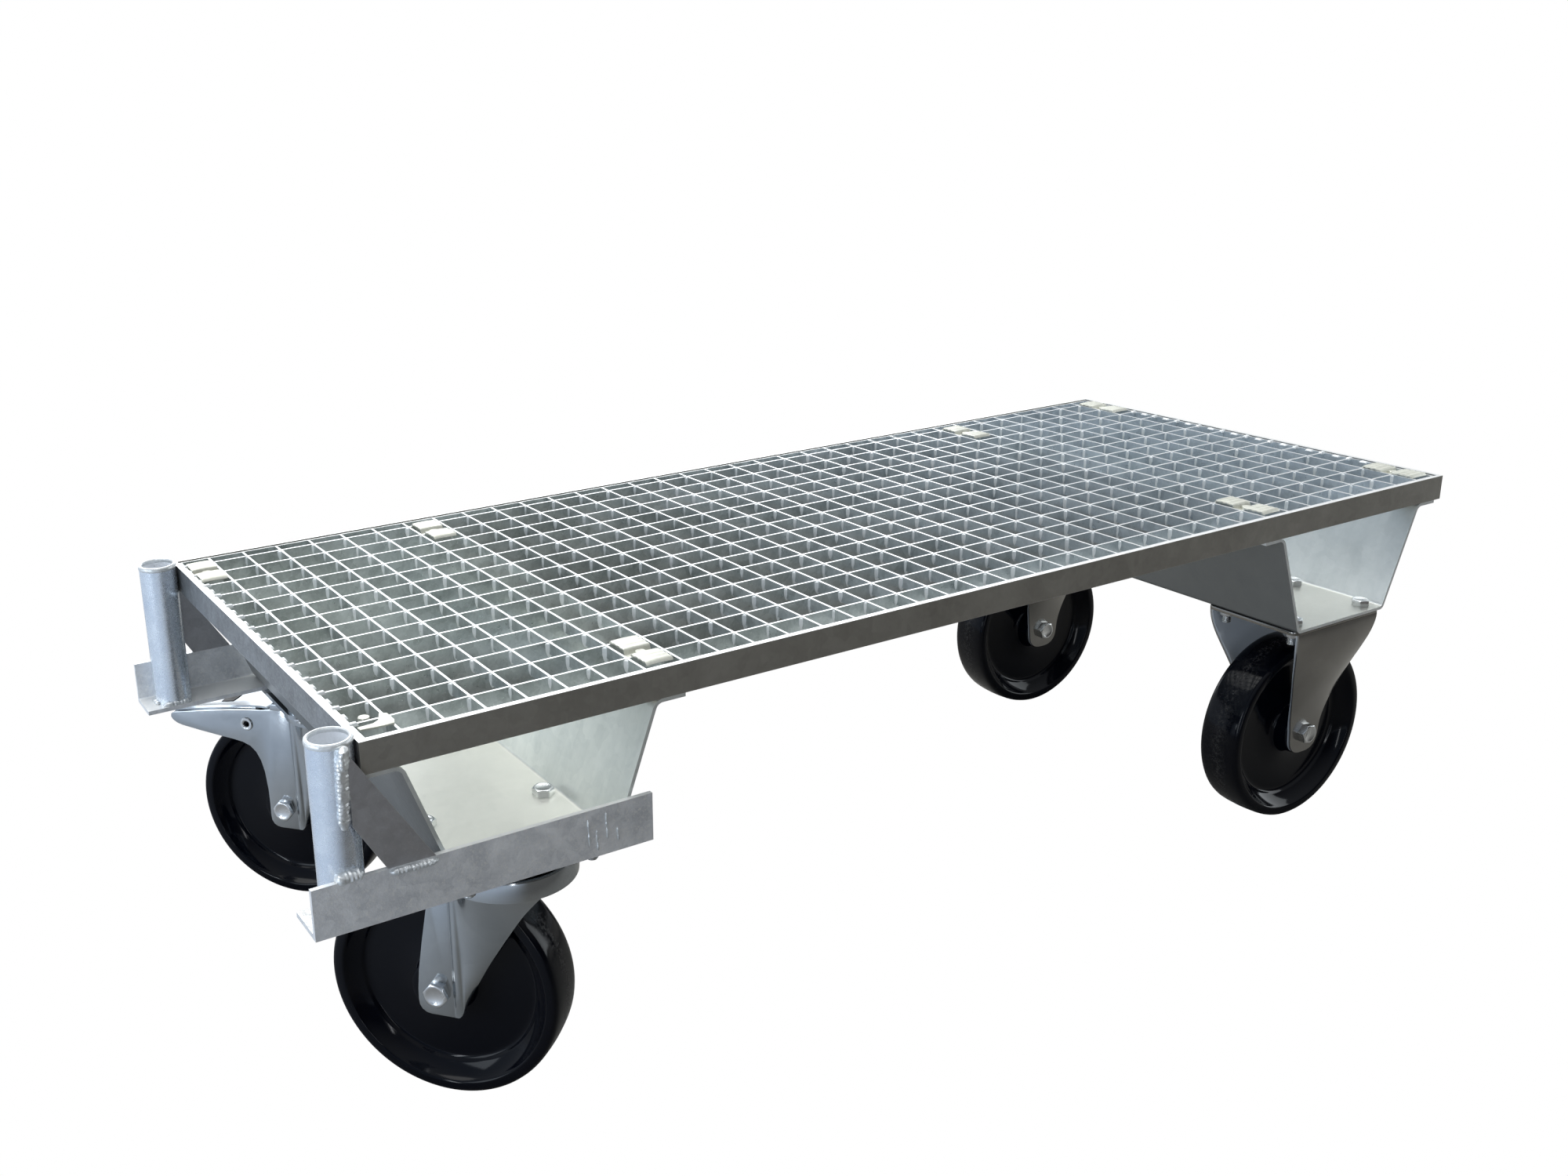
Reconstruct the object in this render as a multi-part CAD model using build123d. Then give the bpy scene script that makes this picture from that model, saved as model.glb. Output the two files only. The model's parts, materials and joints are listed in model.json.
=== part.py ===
"""Flatbed platform truck: galvanised grating deck on two folded hat channels and four 200 mm casters.

Millimetres, +Z up. Working frame: X runs along the deck from its handle end, Y across it from the
near long side, Z up from the floor. At export everything is moved so that the centre of the
bottom of the whole truck's box is the origin.
"""
import os

from build123d import *

# ---------------------------------------------------------------- driving dimensions
DECK_LENGTH = 1200.0
DECK_WIDTH = 490.0
DECK_TOP = 366.5            # top edge of the deck frame above the floor
FRAME_LEG = 25.0            # equal angle of the deck frame, L 25 x 25 x 4
FRAME_T = 4.0
FRAME_ROOT_R = 0.9

MESH = 100.0 / 3.0          # press-locked mesh, 33.3 x 33.3
BEARING_H = 20.0
BEARING_T = 2.0
CROSS_H = 10.0
CROSS_T = 2.0
BORDER_T = 2.5
GRATING_GAP = 1.0           # play between the grating and its frame
FIRST_BEARING_Y = 34.6      # first lengthwise bar from the near side
BEARING_COUNT = 14
CROSS_COUNT = 35

CHANNEL_T = 3.0
CHANNEL_BASE = 134.0        # outer width of the channel's bottom
CHANNEL_TOP = 211.0         # outer width where its walls meet the flanges
CHANNEL_FLANGE = 25.0
CHANNEL_BEND_R = 6.5        # outer radius of each fold
LEFT_X = 134.0              # centre line of the swivel caster channel
RIGHT_X = 1060.0            # centre line of the fixed caster channel

ANGLE_LEG = 40.0            # side angles, L 40 x 40 x 4
ANGLE_T = 4.0
ANGLE_ROOT_R = 2.5
ANGLE_START = -46.0
ANGLE_END = 228.0
ANGLE_OUT = 8.0             # how far the angles stand outside the deck's long sides

TUBE_R = 16.85              # 33.7 x 2.6 pipe
TUBE_BORE_R = 14.25
TUBE_RISE = 4.0             # the sockets stand above the deck by this
TUBE_GAP = 0.15

GUSSET_T = 4.0
GUSSET_RUN = 36.5           # length of the gusset's foot on the angle
GUSSET_FOOT = 11.0          # where the foot starts, from the deck's end
GUSSET_BACK = -12.0
GUSSET_BACK_H = 56.0

CASTER_INSET = 56.0         # swivel axis and wheel plane from the deck's long side
PLATE_L = 135.0
PLATE_W = 110.0
PLATE_T = 4.0
BOLT_X = 105.0              # caster plate hole pattern
BOLT_Y = 80.0
BOLT_HOLE_R = 5.5
TRAIL = 55.0
SWIVEL_ANGLE_NEAR = 132.0   # the way each swivel caster trails, from +X
SWIVEL_ANGLE_FAR = 132.0

WHEEL_R = 100.0
WHEEL_W = 46.0
HUB_W = 52.0
HUB_R = 25.0
HUB_BORE_R = 15.0
SLEEVE_R = 10.0
SLEEVE_BORE_R = 6.1
RUNNING_GAP = 0.05
FORK_GAP = 52.4             # between the fork's legs
FORK_T = 3.5
AXLE_R = 6.0
CROWN_TOP = 214.0
CROWN_T = 4.0
CROWN_R = 55.0
SKIRT_T = 3.5
SKIRT_TOP = 221.0
SKIRT_LOW = 203.0
KINGPIN_R = 8.0
BALL_R = 2.9
BALL_RING_R = 40.0
BALL_COUNT = 24

PIVOT_S = 90.0              # brake pedal pivot behind the swivel axis, and above the floor
PIVOT_Z = 189.0
PIVOT_R = 4.0
PEDAL_T = 2.0
PEDAL_GAP = 0.5             # between the pedal's cheeks and the fork's arms
ARM_TIP = 174.0

CLIP_T = 1.5
CLIP_WIDTH = 24.0
CLIP_BOLT_R = 2.5
CLIP_COLUMNS = (6, 27)      # crosswise bars just left of the inner clips
CLIP_BOLT_Y = 7.5           # the bolt stands beyond the nearer bar by this
CLIP_SINK = 5.0             # depth of the trough that takes the bolt
CLIP_BOLT_LENGTH = 16.0     # its end stays clear of the end rails' lower legs

# ---------------------------------------------------------------- levels worked out from them
GRATING_LOW = DECK_TOP - FRAME_LEG + FRAME_T
GRATING_TOP = GRATING_LOW + BEARING_H
CHANNEL_HIGH = DECK_TOP - FRAME_LEG
CHANNEL_LOW = 234.0
ANGLE_LOW = CHANNEL_LOW - ANGLE_T
ANGLE_HIGH = ANGLE_LOW + ANGLE_LEG
TUBE_TOP = DECK_TOP + TUBE_RISE
FORK_IN = FORK_GAP / 2
FORK_OUT = FORK_IN + FORK_T
PLATE_TOP = ANGLE_LOW
PLATE_LOW = PLATE_TOP - PLATE_T
MID_Y = DECK_WIDTH / 2


# ---------------------------------------------------------------- shared helpers
def along_x(face, start, length):
    """Extrude a face drawn in Y and Z from x = start."""
    return Pos(start, 0, 0) * extrude(Plane.YZ * face, length)


def along_y(face, start, length):
    """Extrude a face drawn in X and Z from y = start towards +Y."""
    return Pos(0, start + length, 0) * extrude(Plane.XZ * face, length)


def outline(points, radii=0.0):
    """A flat face from corner points, with every corner rounded when radii is given."""
    face = make_face(Polyline(*points, close=True))
    return fillet(face.vertices(), radii) if radii else face


def angle_bar(leg, thickness, root_r):
    """Section of an equal angle, heel at the origin, legs along +X and +Y, root rounded."""
    face = make_face(Polyline((0, 0), (leg, 0), (leg, thickness), (thickness, thickness),
                              (thickness, leg), (0, leg), close=True))
    root = face.vertices().sort_by_distance((thickness, thickness, 0))[0]
    return fillet(root, root_r)


def hexagon(across_flats, height, chamfer_d=0.6):
    """A hexagonal block standing on z = 0 with its upper corners turned off."""
    block = extrude(RegularPolygon(across_flats / 2, 6, major_radius=False), height)
    slope = Cone(across_flats / 2 + height, across_flats / 2 - chamfer_d, height + chamfer_d,
                 align=(Align.CENTER, Align.CENTER, Align.MIN))
    return block & slope


def hex_bolt(radius, across_flats, head_h, length):
    """A bolt whose head sits on z = 0 and whose shank points down."""
    shank = Cylinder(radius, length, align=(Align.CENTER, Align.CENTER, Align.MAX))
    end = shank.edges().filter_by(GeomType.CIRCLE).sort_by(Axis.Z)[0]
    return hexagon(across_flats, head_h) + chamfer(end, 0.8)


def hex_nut(radius, across_flats, height):
    """A nut hanging below z = 0, chamfered on its lower side."""
    turned = Rot(180, 0, 0) * hexagon(across_flats, height)
    return turned - Cylinder(radius, 3 * height)


def ring(outer, inner, low, high):
    """A flat ring about Z."""
    height = high - low
    disc = Cylinder(outer, height, align=(Align.CENTER, Align.CENTER, Align.MIN))
    hole = Cylinder(inner, 3 * height)
    return Pos(0, 0, low) * (disc - hole)


def group(solids):
    """Separate solids kept in one node."""
    return Compound(children=list(solids))


def turned_about_deck(shape):
    """The same shape half a turn round the deck's middle."""
    middle = Pos(DECK_LENGTH / 2, MID_Y, 0)
    return middle * Rot(0, 0, 180) * Pos(-DECK_LENGTH / 2, -MID_Y, 0) * shape


# ---------------------------------------------------------------- deck frame
def long_rail(far):
    """Lengthwise angle of the deck frame: upright leg outside, ledge inside at the bottom."""
    section = angle_bar(FRAME_LEG, FRAME_T, FRAME_ROOT_R)
    rail = Pos(0, 0, CHANNEL_HIGH) * along_x(section, 0, DECK_LENGTH)
    return turned_about_deck(rail) if far else rail


def end_rail(right):
    """Crosswise angle of the deck frame, fitted between the long ones."""
    section = angle_bar(FRAME_LEG, FRAME_T, FRAME_ROOT_R)
    rail = Pos(0, 0, CHANNEL_HIGH) * along_y(section, FRAME_T, DECK_WIDTH - 2 * FRAME_T)
    notch = Box(FRAME_LEG, FRAME_LEG - FRAME_T, FRAME_T + 2 * FRAME_ROOT_R, align=Align.MIN)
    for y in (FRAME_T, DECK_WIDTH - FRAME_LEG):
        rail -= Pos(0, y, CHANNEL_HIGH) * notch
    return turned_about_deck(rail) if right else rail


# ---------------------------------------------------------------- grating
def cross_places():
    """X of each crosswise bar, evenly about the middle of the deck."""
    first = (DECK_LENGTH - (CROSS_COUNT - 1) * MESH) / 2
    return [first + i * MESH for i in range(CROSS_COUNT)]


def bearing_bars():
    """Lengthwise bars on edge, slotted from above for the crosswise bars."""
    low_x = FRAME_T + GRATING_GAP + BORDER_T
    high_x = DECK_LENGTH - low_x
    top = [(low_x, GRATING_TOP)]
    for x in cross_places():
        left, right = x - CROSS_T / 2, x + CROSS_T / 2
        floor = GRATING_TOP - CROSS_H
        top += [(left, GRATING_TOP), (left, floor), (right, floor), (right, GRATING_TOP)]
    comb = outline([*top, (high_x, GRATING_TOP), (high_x, GRATING_LOW), (low_x, GRATING_LOW)])
    return group(along_y(comb, FIRST_BEARING_Y + j * MESH - BEARING_T / 2, BEARING_T)
                 for j in range(BEARING_COUNT))


def cross_bars():
    """Crosswise bars pressed into the slots, flush with the bearing bars."""
    low_y = FRAME_T + GRATING_GAP + BORDER_T
    bar = Box(CROSS_T, DECK_WIDTH - 2 * low_y, CROSS_H, align=(Align.CENTER, Align.MIN, Align.MAX))
    return group(Pos(x, low_y, GRATING_TOP) * bar for x in cross_places())


def border_bars():
    """Flat bars that close the grating on its four sides."""
    start = FRAME_T + GRATING_GAP
    length, width = DECK_LENGTH - 2 * start, DECK_WIDTH - 2 * start
    long_bar = Box(length, BORDER_T, BEARING_H, align=Align.MIN)
    end_bar = Box(BORDER_T, width - 2 * BORDER_T, BEARING_H, align=Align.MIN)
    places = [Pos(start, y, GRATING_LOW) * long_bar
              for y in (start, DECK_WIDTH - start - BORDER_T)]
    places += [Pos(x, start + BORDER_T, GRATING_LOW) * end_bar
               for x in (start, DECK_LENGTH - start - BORDER_T)]
    return group(places)


def clip_places():
    """Corner of each clip: the middle of its column of cells and its nearer lengthwise bar."""
    xs = cross_places()
    edge = FRAME_T + GRATING_GAP + BORDER_T
    end = (edge + xs[0] - CROSS_T / 2) / 2
    columns = [end, *(xs[i] + MESH / 2 for i in CLIP_COLUMNS), DECK_LENGTH - end]
    rows = (FIRST_BEARING_Y, FIRST_BEARING_Y + (BEARING_COUNT - 2) * MESH)
    return [(x, y) for y in rows for x in columns]


def clip(x, y):
    """A pressed clip: two tabs, each over a lengthwise bar, and a trough between for the bolt."""
    seat, sink = 0.1, -CLIP_SINK
    path = [(-22, seat), (2, seat), (3.2, sink), (11.8, sink), (13, seat), (MESH + 2.5, seat)]
    sheet = [(py, pz + CLIP_T) for py, pz in reversed(path)]
    body = along_x(outline([*path, *sheet]), -CLIP_WIDTH / 2, CLIP_WIDTH)
    hole = Pos(0, CLIP_BOLT_Y, 0) * Cylinder(CLIP_BOLT_R + 0.3, FRAME_LEG)
    return Pos(x, y, GRATING_TOP) * (body - hole)


def clips():
    """All clips."""
    return group(clip(x, y) for x, y in clip_places())


def clip_bolts():
    """The bolt of each clip."""
    bolt = hex_bolt(CLIP_BOLT_R, 8.0, 3.5, CLIP_BOLT_LENGTH)
    seat = GRATING_TOP - CLIP_SINK + CLIP_T
    return group(Pos(x, y + CLIP_BOLT_Y, seat) * bolt for x, y in clip_places())


# ---------------------------------------------------------------- channels, angles, sockets
def channel(x):
    """A folded hat channel across the deck, its flanges under the frame."""
    base, top = CHANNEL_BASE / 2, CHANNEL_TOP / 2
    low, high = CHANNEL_LOW, CHANNEL_HIGH - CHANNEL_T
    path = FilletPolyline((-top - CHANNEL_FLANGE, high), (-top, high), (-base, low), (base, low),
                          (top, high), (top + CHANNEL_FLANGE, high), radius=CHANNEL_BEND_R)
    section = Face(path.wire().offset_2d(CHANNEL_T, side=Side.LEFT))
    body = Pos(x, 0, 0) * along_y(section, 0, DECK_WIDTH)
    for y in (CASTER_INSET, DECK_WIDTH - CASTER_INSET):
        body -= Pos(x, y, CHANNEL_LOW) * bolt_holes()
    return body


def bolt_pattern():
    """The four bolt places of a caster plate, about its centre."""
    return [(sx * BOLT_X / 2, sy * BOLT_Y / 2) for sx in (-1, 1) for sy in (-1, 1)]


def bolt_holes():
    """Cutting pins for one caster's four bolts."""
    return Compound(children=[Pos(px, py, 0) * Cylinder(BOLT_HOLE_R, 24)
                              for px, py in bolt_pattern()])


def side_angle(far):
    """Angle under the swivel channel's end: it carries the socket and closes the channel."""
    section = angle_bar(ANGLE_LEG, ANGLE_T, ANGLE_ROOT_R)
    heel_y, inset = -ANGLE_OUT, CASTER_INSET
    if far:
        section = mirror(section, Plane.YZ)
        heel_y, inset = DECK_WIDTH + ANGLE_OUT, DECK_WIDTH - CASTER_INSET
    bar = Pos(0, heel_y, ANGLE_LOW) * along_x(section, ANGLE_START, ANGLE_END - ANGLE_START)
    bar -= Pos(LEFT_X, inset, ANGLE_LOW) * bolt_holes()
    relief = Box(CHANNEL_TOP, DECK_WIDTH, ANGLE_ROOT_R, align=(Align.CENTER, Align.MIN, Align.MIN))
    return bar - Pos(LEFT_X, 0, CHANNEL_LOW) * relief


def socket_tube(far):
    """Handle socket: a pipe standing on the side angle against the deck's end."""
    height = TUBE_TOP - CHANNEL_LOW
    low = (Align.CENTER, Align.CENTER, Align.MIN)
    tube = Cylinder(TUBE_R, height, align=low) - Cylinder(TUBE_BORE_R, height, align=low)
    x, y = socket_centre(far)
    return Pos(x, y, CHANNEL_LOW) * tube - side_angle(far)


def socket_centre(far):
    """X and Y of a socket's axis."""
    inset = ANGLE_T - ANGLE_OUT + TUBE_R + TUBE_GAP
    return -TUBE_R - TUBE_GAP, (DECK_WIDTH - inset if far else inset)


def gusset(far):
    """Sloping plate from the socket down to the side angle, in the plane of its upright leg."""
    foot_end = GUSSET_FOOT + GUSSET_RUN
    shoulder = DECK_TOP - 1.5
    plate = outline([(GUSSET_FOOT, ANGLE_HIGH), (foot_end, ANGLE_HIGH), (GUSSET_BACK, shoulder),
                     (GUSSET_BACK, shoulder - GUSSET_BACK_H)])
    return along_y(plate, DECK_WIDTH + ANGLE_OUT - GUSSET_T if far else -ANGLE_OUT, GUSSET_T)


# ---------------------------------------------------------------- casters
def at_caster(x, far, angle):
    """Place of a caster: its local +X is the way it trails, its local Z axis is the swivel axis."""
    y = DECK_WIDTH - CASTER_INSET if far else CASTER_INSET
    return Pos(x, y, 0) * Rot(0, 0, angle)


def mounting(shape):
    """Sixteen copies of a fastener, four for each caster."""
    return [Pos(x + px, y + py, 0) * shape
            for x in (LEFT_X, RIGHT_X) for y in (CASTER_INSET, DECK_WIDTH - CASTER_INSET)
            for px, py in bolt_pattern()]


def plate_bolts():
    """Bolts through channel and caster plate, heads inside the channel."""
    bolt = hex_bolt(5.0, 16.0, 6.4, 22.0)
    return group(mounting(Pos(0, 0, CHANNEL_LOW + CHANNEL_T) * bolt))


def plate_nuts():
    """Nuts under the caster plates."""
    nut = hex_nut(5.0, 16.0, 6.0)
    solids = mounting(Pos(0, 0, PLATE_LOW) * nut)
    half = len(solids) // 2
    return group([*solids[:half], *(Pos(0, 0, ANGLE_T) * nut_ for nut_ in solids[half:])])


def packing_washers():
    """Washers that fill the side angle's thickness at the inner bolts of the swivel casters."""
    disc = ring(12.0, BOLT_HOLE_R, ANGLE_LOW, CHANNEL_LOW)
    inner = CASTER_INSET + BOLT_Y / 2
    return group(Pos(LEFT_X + sx * BOLT_X / 2, y, 0) * disc
                 for sx in (-1, 1) for y in (inner, DECK_WIDTH - inner))


def top_plate(far):
    """Swivel caster's mounting plate with its pressed upper race."""
    plate = Box(PLATE_L, PLATE_W, PLATE_T, align=(Align.CENTER, Align.CENTER, Align.MIN))
    plate = fillet(plate.edges().filter_by(Axis.Z), 8)
    body = Pos(0, 0, PLATE_LOW) * plate
    race_low = CROWN_TOP + 2 * BALL_R + 0.2
    body += Pos(0, 0, race_low) * Cylinder(CROWN_R - SKIRT_T - 2, PLATE_LOW - race_low,
                                           align=(Align.CENTER, Align.CENTER, Align.MIN))
    body -= Pos(0, 0, PLATE_LOW) * Compound(children=[
        Pos(px, py, 0) * Cylinder(BOLT_HOLE_R, 24) for px, py in bolt_pattern()])
    body -= Cylinder(KINGPIN_R, 2 * DECK_TOP)
    return at_caster(LEFT_X, far, 0) * body


def kingpin(far):
    """Bolt that holds the fork's crown to the top plate, with its nut below."""
    length = PLATE_TOP - (CROWN_TOP - CROWN_T) + 9.0
    pin = Pos(0, 0, PLATE_TOP) * Cylinder(KINGPIN_R, length,
                                          align=(Align.CENTER, Align.CENTER, Align.MAX))
    nut = Pos(0, 0, CROWN_TOP - CROWN_T - 0.1) * (Rot(180, 0, 0) * hexagon(24.0, 8.0))
    return at_caster(LEFT_X, far, 0) * (pin + nut)


def race_balls(far):
    """Ring of balls between the crown and the upper race."""
    ball = Pos(BALL_RING_R, 0, CROWN_TOP + BALL_R + 0.1) * Sphere(BALL_R)
    step = 360 / BALL_COUNT
    return group(at_caster(LEFT_X, far, i * step) * ball for i in range(BALL_COUNT))


def leg_flat(points, radii):
    """Both flat legs of a fork, from one side outline, drilled for the axle."""
    face = fillet(make_face(Polyline(*points, close=True)).vertices(), radii)
    legs = along_y(face, FORK_IN, FORK_T)
    return legs + mirror(legs, Plane.XZ)


def swivel_fork(far):
    """Pressed fork of a swivel caster: crown, dust skirt and two legs. Only the far one has arms."""
    low, high = 78.0, CROWN_TOP
    legs = leg_flat([(37, low), (72, low), (73, 100), (60, 176), (60, high), (34, high)], 3)
    crown = ring(CROWN_R, KINGPIN_R + RUNNING_GAP, high - CROWN_T, high)
    bridge = Box(60, 2 * FORK_OUT, CROWN_T, align=(Align.MIN, Align.CENTER, Align.MAX))
    bridge = Pos(0, 0, high) * bridge - Cylinder(KINGPIN_R + RUNNING_GAP, 3 * high)
    skirt = ring(CROWN_R, CROWN_R - SKIRT_T, SKIRT_LOW, SKIRT_TOP)
    skirt -= Pos(0, 0, SKIRT_LOW) * Box(3 * CROWN_R, 2 * FORK_IN, 2 * (high - CROWN_T - SKIRT_LOW))
    body = crown + bridge + skirt + legs + leg_flare()
    if far:
        body += brake_arms()
        body -= Pos(PIVOT_S, 0, PIVOT_Z) * Rot(90, 0, 0) * Cylinder(PIVOT_R + 1.5, 4 * FORK_OUT)
    body -= Pos(TRAIL, 0, WHEEL_R) * Rot(90, 0, 0) * Cylinder(AXLE_R + 0.1, 4 * FORK_OUT)
    angle = SWIVEL_ANGLE_FAR if far else SWIVEL_ANGLE_NEAR
    return at_caster(LEFT_X, far, angle) * body


def leg_flare():
    """Front webs of a swivel fork: from the flat legs they flare out to the crown's rim."""
    low, knee, high = 78.0, 150.0, CROWN_TOP - CROWN_T / 2
    reach = 14.0
    section = outline([(FORK_IN, low), (FORK_OUT, low), (FORK_OUT, knee),
                       (FORK_OUT + reach, high), (FORK_IN + reach, high), (FORK_IN, knee + 2)])
    band = along_x(section, -CROWN_R, CROWN_R + 40)
    side = outline([(38, low), (33, low + 6), (10, 131), (-44, 204), (-52, high), (38, high)])
    web = band & along_y(side, 0, 2 * CROWN_R)
    web &= Cylinder(CROWN_R, 4 * CROWN_R) + Pos(30, 0, 0) * Box(60, 2 * FORK_OUT, 8 * CROWN_R)
    return web + mirror(web, Plane.XZ)


def brake_arms():
    """Arms of the braked fork: they run back over the wheel and carry the pedal's rivets."""
    arm = make_face(Polyline((56, 205), (72, 205), (108, 203), (ARM_TIP, 193), (ARM_TIP + 4, 186),
                             (ARM_TIP - 8, 178), (121, 172), (92, 168), (78, 154), (71, 110),
                             (56, 110), close=True))
    corners = arm.vertices()
    tip = [v for v in corners if v.X > ARM_TIP - 10]
    arm = fillet(tip, 4)
    elbow = [v for v in arm.vertices() if 76 < v.X < 93 and v.Y < 170]
    arm = fillet(elbow, 10)
    arms = along_y(arm, FORK_IN, FORK_T)
    return arms + mirror(arms, Plane.XZ)


def fixed_fork(far):
    """Pressed fork of a fixed caster: the plate's long edges fold down and draw in to the axle."""
    top = CHANNEL_LOW
    plate = Box(PLATE_L, PLATE_W, PLATE_T, align=(Align.CENTER, Align.CENTER, Align.MAX))
    plate = fillet(plate.edges().filter_by(Axis.Z), 8)
    body = Pos(0, 0, top) * plate
    body -= Pos(0, 0, top) * bolt_holes()
    knee, shoulder = 112.0, top - 2
    spread = PLATE_W / 2 - 0.5
    section = outline([(FORK_IN, 78), (FORK_OUT, 78), (FORK_OUT, knee), (spread, shoulder),
                       (spread - FORK_T, shoulder), (FORK_IN, knee + 1)])
    band = along_x(section, -PLATE_L, 2 * PLATE_L)
    leg = band & along_y(side_of_fixed_leg(shoulder), 0, PLATE_W)
    body += leg + mirror(leg, Plane.XZ)
    body -= Pos(0, 0, WHEEL_R) * Rot(90, 0, 0) * Cylinder(AXLE_R + 0.1, 4 * FORK_OUT)
    return at_caster(RIGHT_X, far, 180) * body


def side_of_fixed_leg(top):
    """Side outline of a fixed fork's leg: as long as the plate above, a round lobe at the axle."""
    right = [(12, 78), (22, 86), (23, 104), (28, 130), (38, 160), (51, 190), (61, top - 10),
             (61, top)]
    face = make_face(Polyline(*right, *[(-x, z) for x, z in reversed(right)], close=True))
    return fillet([v for v in face.vertices() if v.Y < 100], 6)


def wheel_body():
    """One wheel about its own axis, which is Z here: crowned tread, stepped rim, dished web."""
    half, hub = WHEEL_W / 2, HUB_W / 2
    right = [(HUB_BORE_R, hub), (HUB_R - 1, hub), (HUB_R, hub - 1), (HUB_R + 2, 9), (70, 7.5),
             (77, 10.5), (78, 18), (79.5, 18), (87, half - 3.5), (88.5, half), (93, half),
             (96.5, half - 2), (99, half - 8)]
    crown = ThreePointArc((99, half - 8), (WHEEL_R, 0), (99, 8 - half))
    upper = Polyline(*right)
    lower = Polyline(*[(r, -h) for r, h in reversed(right)])
    bore = Line((HUB_BORE_R, -hub), (HUB_BORE_R, hub))
    profile = make_face([upper, crown, lower, bore])
    return revolve(Plane.XZ * profile, Axis.Z, 360)


def on_axle(shape, x, far, angle):
    """Stand a shape made about Z on a caster's axle, its +Z end towards the caster's left side."""
    trail = 0 if x == RIGHT_X else TRAIL
    return at_caster(x, far, angle) * Pos(trail, 0, WHEEL_R) * Rot(-90, 0, 0) * shape


def roller_cage():
    """Cage of rollers in the hub."""
    return ring(HUB_BORE_R, SLEEVE_R + RUNNING_GAP, -HUB_W / 2 + 2, HUB_W / 2 - 2)


def axle_sleeve():
    """Spacer tube between the fork's legs."""
    return ring(SLEEVE_R, SLEEVE_BORE_R, -FORK_IN, FORK_IN)


def axle_bolt():
    """Axle bolt, head on the caster's left side."""
    return Pos(0, 0, FORK_OUT + 2) * hex_bolt(AXLE_R, 19.0, 7.5, 2 * FORK_OUT + 18)


def axle_nut():
    """Nut and both washers of the axle."""
    nut = Pos(0, 0, -FORK_OUT - 2) * hex_nut(AXLE_R, 19.0, 10.0)
    washer = ring(12.0, AXLE_R + 0.1, FORK_OUT, FORK_OUT + 2)
    return group([nut, washer, mirror(washer, Plane.XY)])


# ---------------------------------------------------------------- brake
def brake_pedal():
    """Foot pedal between the arms: tread plate with folded cheeks, open underneath."""
    out = FORK_IN - PEDAL_GAP
    inner = out - PEDAL_T
    top = [(64, 207.5), (74, 208.5), (110, 206), (ARM_TIP - 3, 196.5)]
    under = [(s, z - PEDAL_T) for s, z in reversed(top)]
    plate = along_y(outline([*top, *under]), -out, 2 * out)
    lobe = [(80, 206), (82, 183), (88, 180.5), (97, 182), (ARM_TIP - 6, 186), (ARM_TIP - 3, 195),
            (110, 205)]
    cheek = along_y(outline(lobe), inner, PEDAL_T)
    body = plate + cheek + mirror(cheek, Plane.XZ)
    body -= Pos(PIVOT_S, 0, PIVOT_Z) * Rot(90, 0, 0) * Cylinder(PIVOT_R + 1.5 + RUNNING_GAP, 80)
    return at_caster(LEFT_X, True, SWIVEL_ANGLE_FAR) * body


def brake_shoe():
    """Curved pad under the pedal that meets the tread when it is pressed."""
    low, high = WHEEL_R + 6.5, WHEEL_R + 12.0
    pad = Pos(TRAIL, 0, WHEEL_R) * Rot(90, 0, 0) * (Cylinder(high, 30) - Cylinder(low, 40))
    window = along_y(outline([(112, 150), (134, 150), (134, 220), (112, 220)]), -15, 30)
    stem = along_y(outline([(116, 186), (130, 180), (130, 201), (116, 203)]), -9, 18)
    clear = Pos(TRAIL, 0, WHEEL_R) * Rot(90, 0, 0) * Cylinder(low + 1, 40)
    shoe = at_caster(LEFT_X, True, SWIVEL_ANGLE_FAR) * ((pad & window) + (stem - clear))
    return shoe - brake_pedal()


def pedal_rivets():
    """Hollow rivets that the pedal turns on, one in each arm."""
    hollow = ring(PIVOT_R + 1.5, PIVOT_R, FORK_IN - PEDAL_GAP - PEDAL_T, FORK_OUT)
    lip = ring(PIVOT_R + 2.5, PIVOT_R, FORK_OUT, FORK_OUT + 0.8)
    turned = Pos(PIVOT_S, 0, PIVOT_Z) * Rot(-90, 0, 0) * (hollow + lip)
    both = group([turned, mirror(turned, Plane.XZ)])
    return at_caster(LEFT_X, True, SWIVEL_ANGLE_FAR) * both


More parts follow.
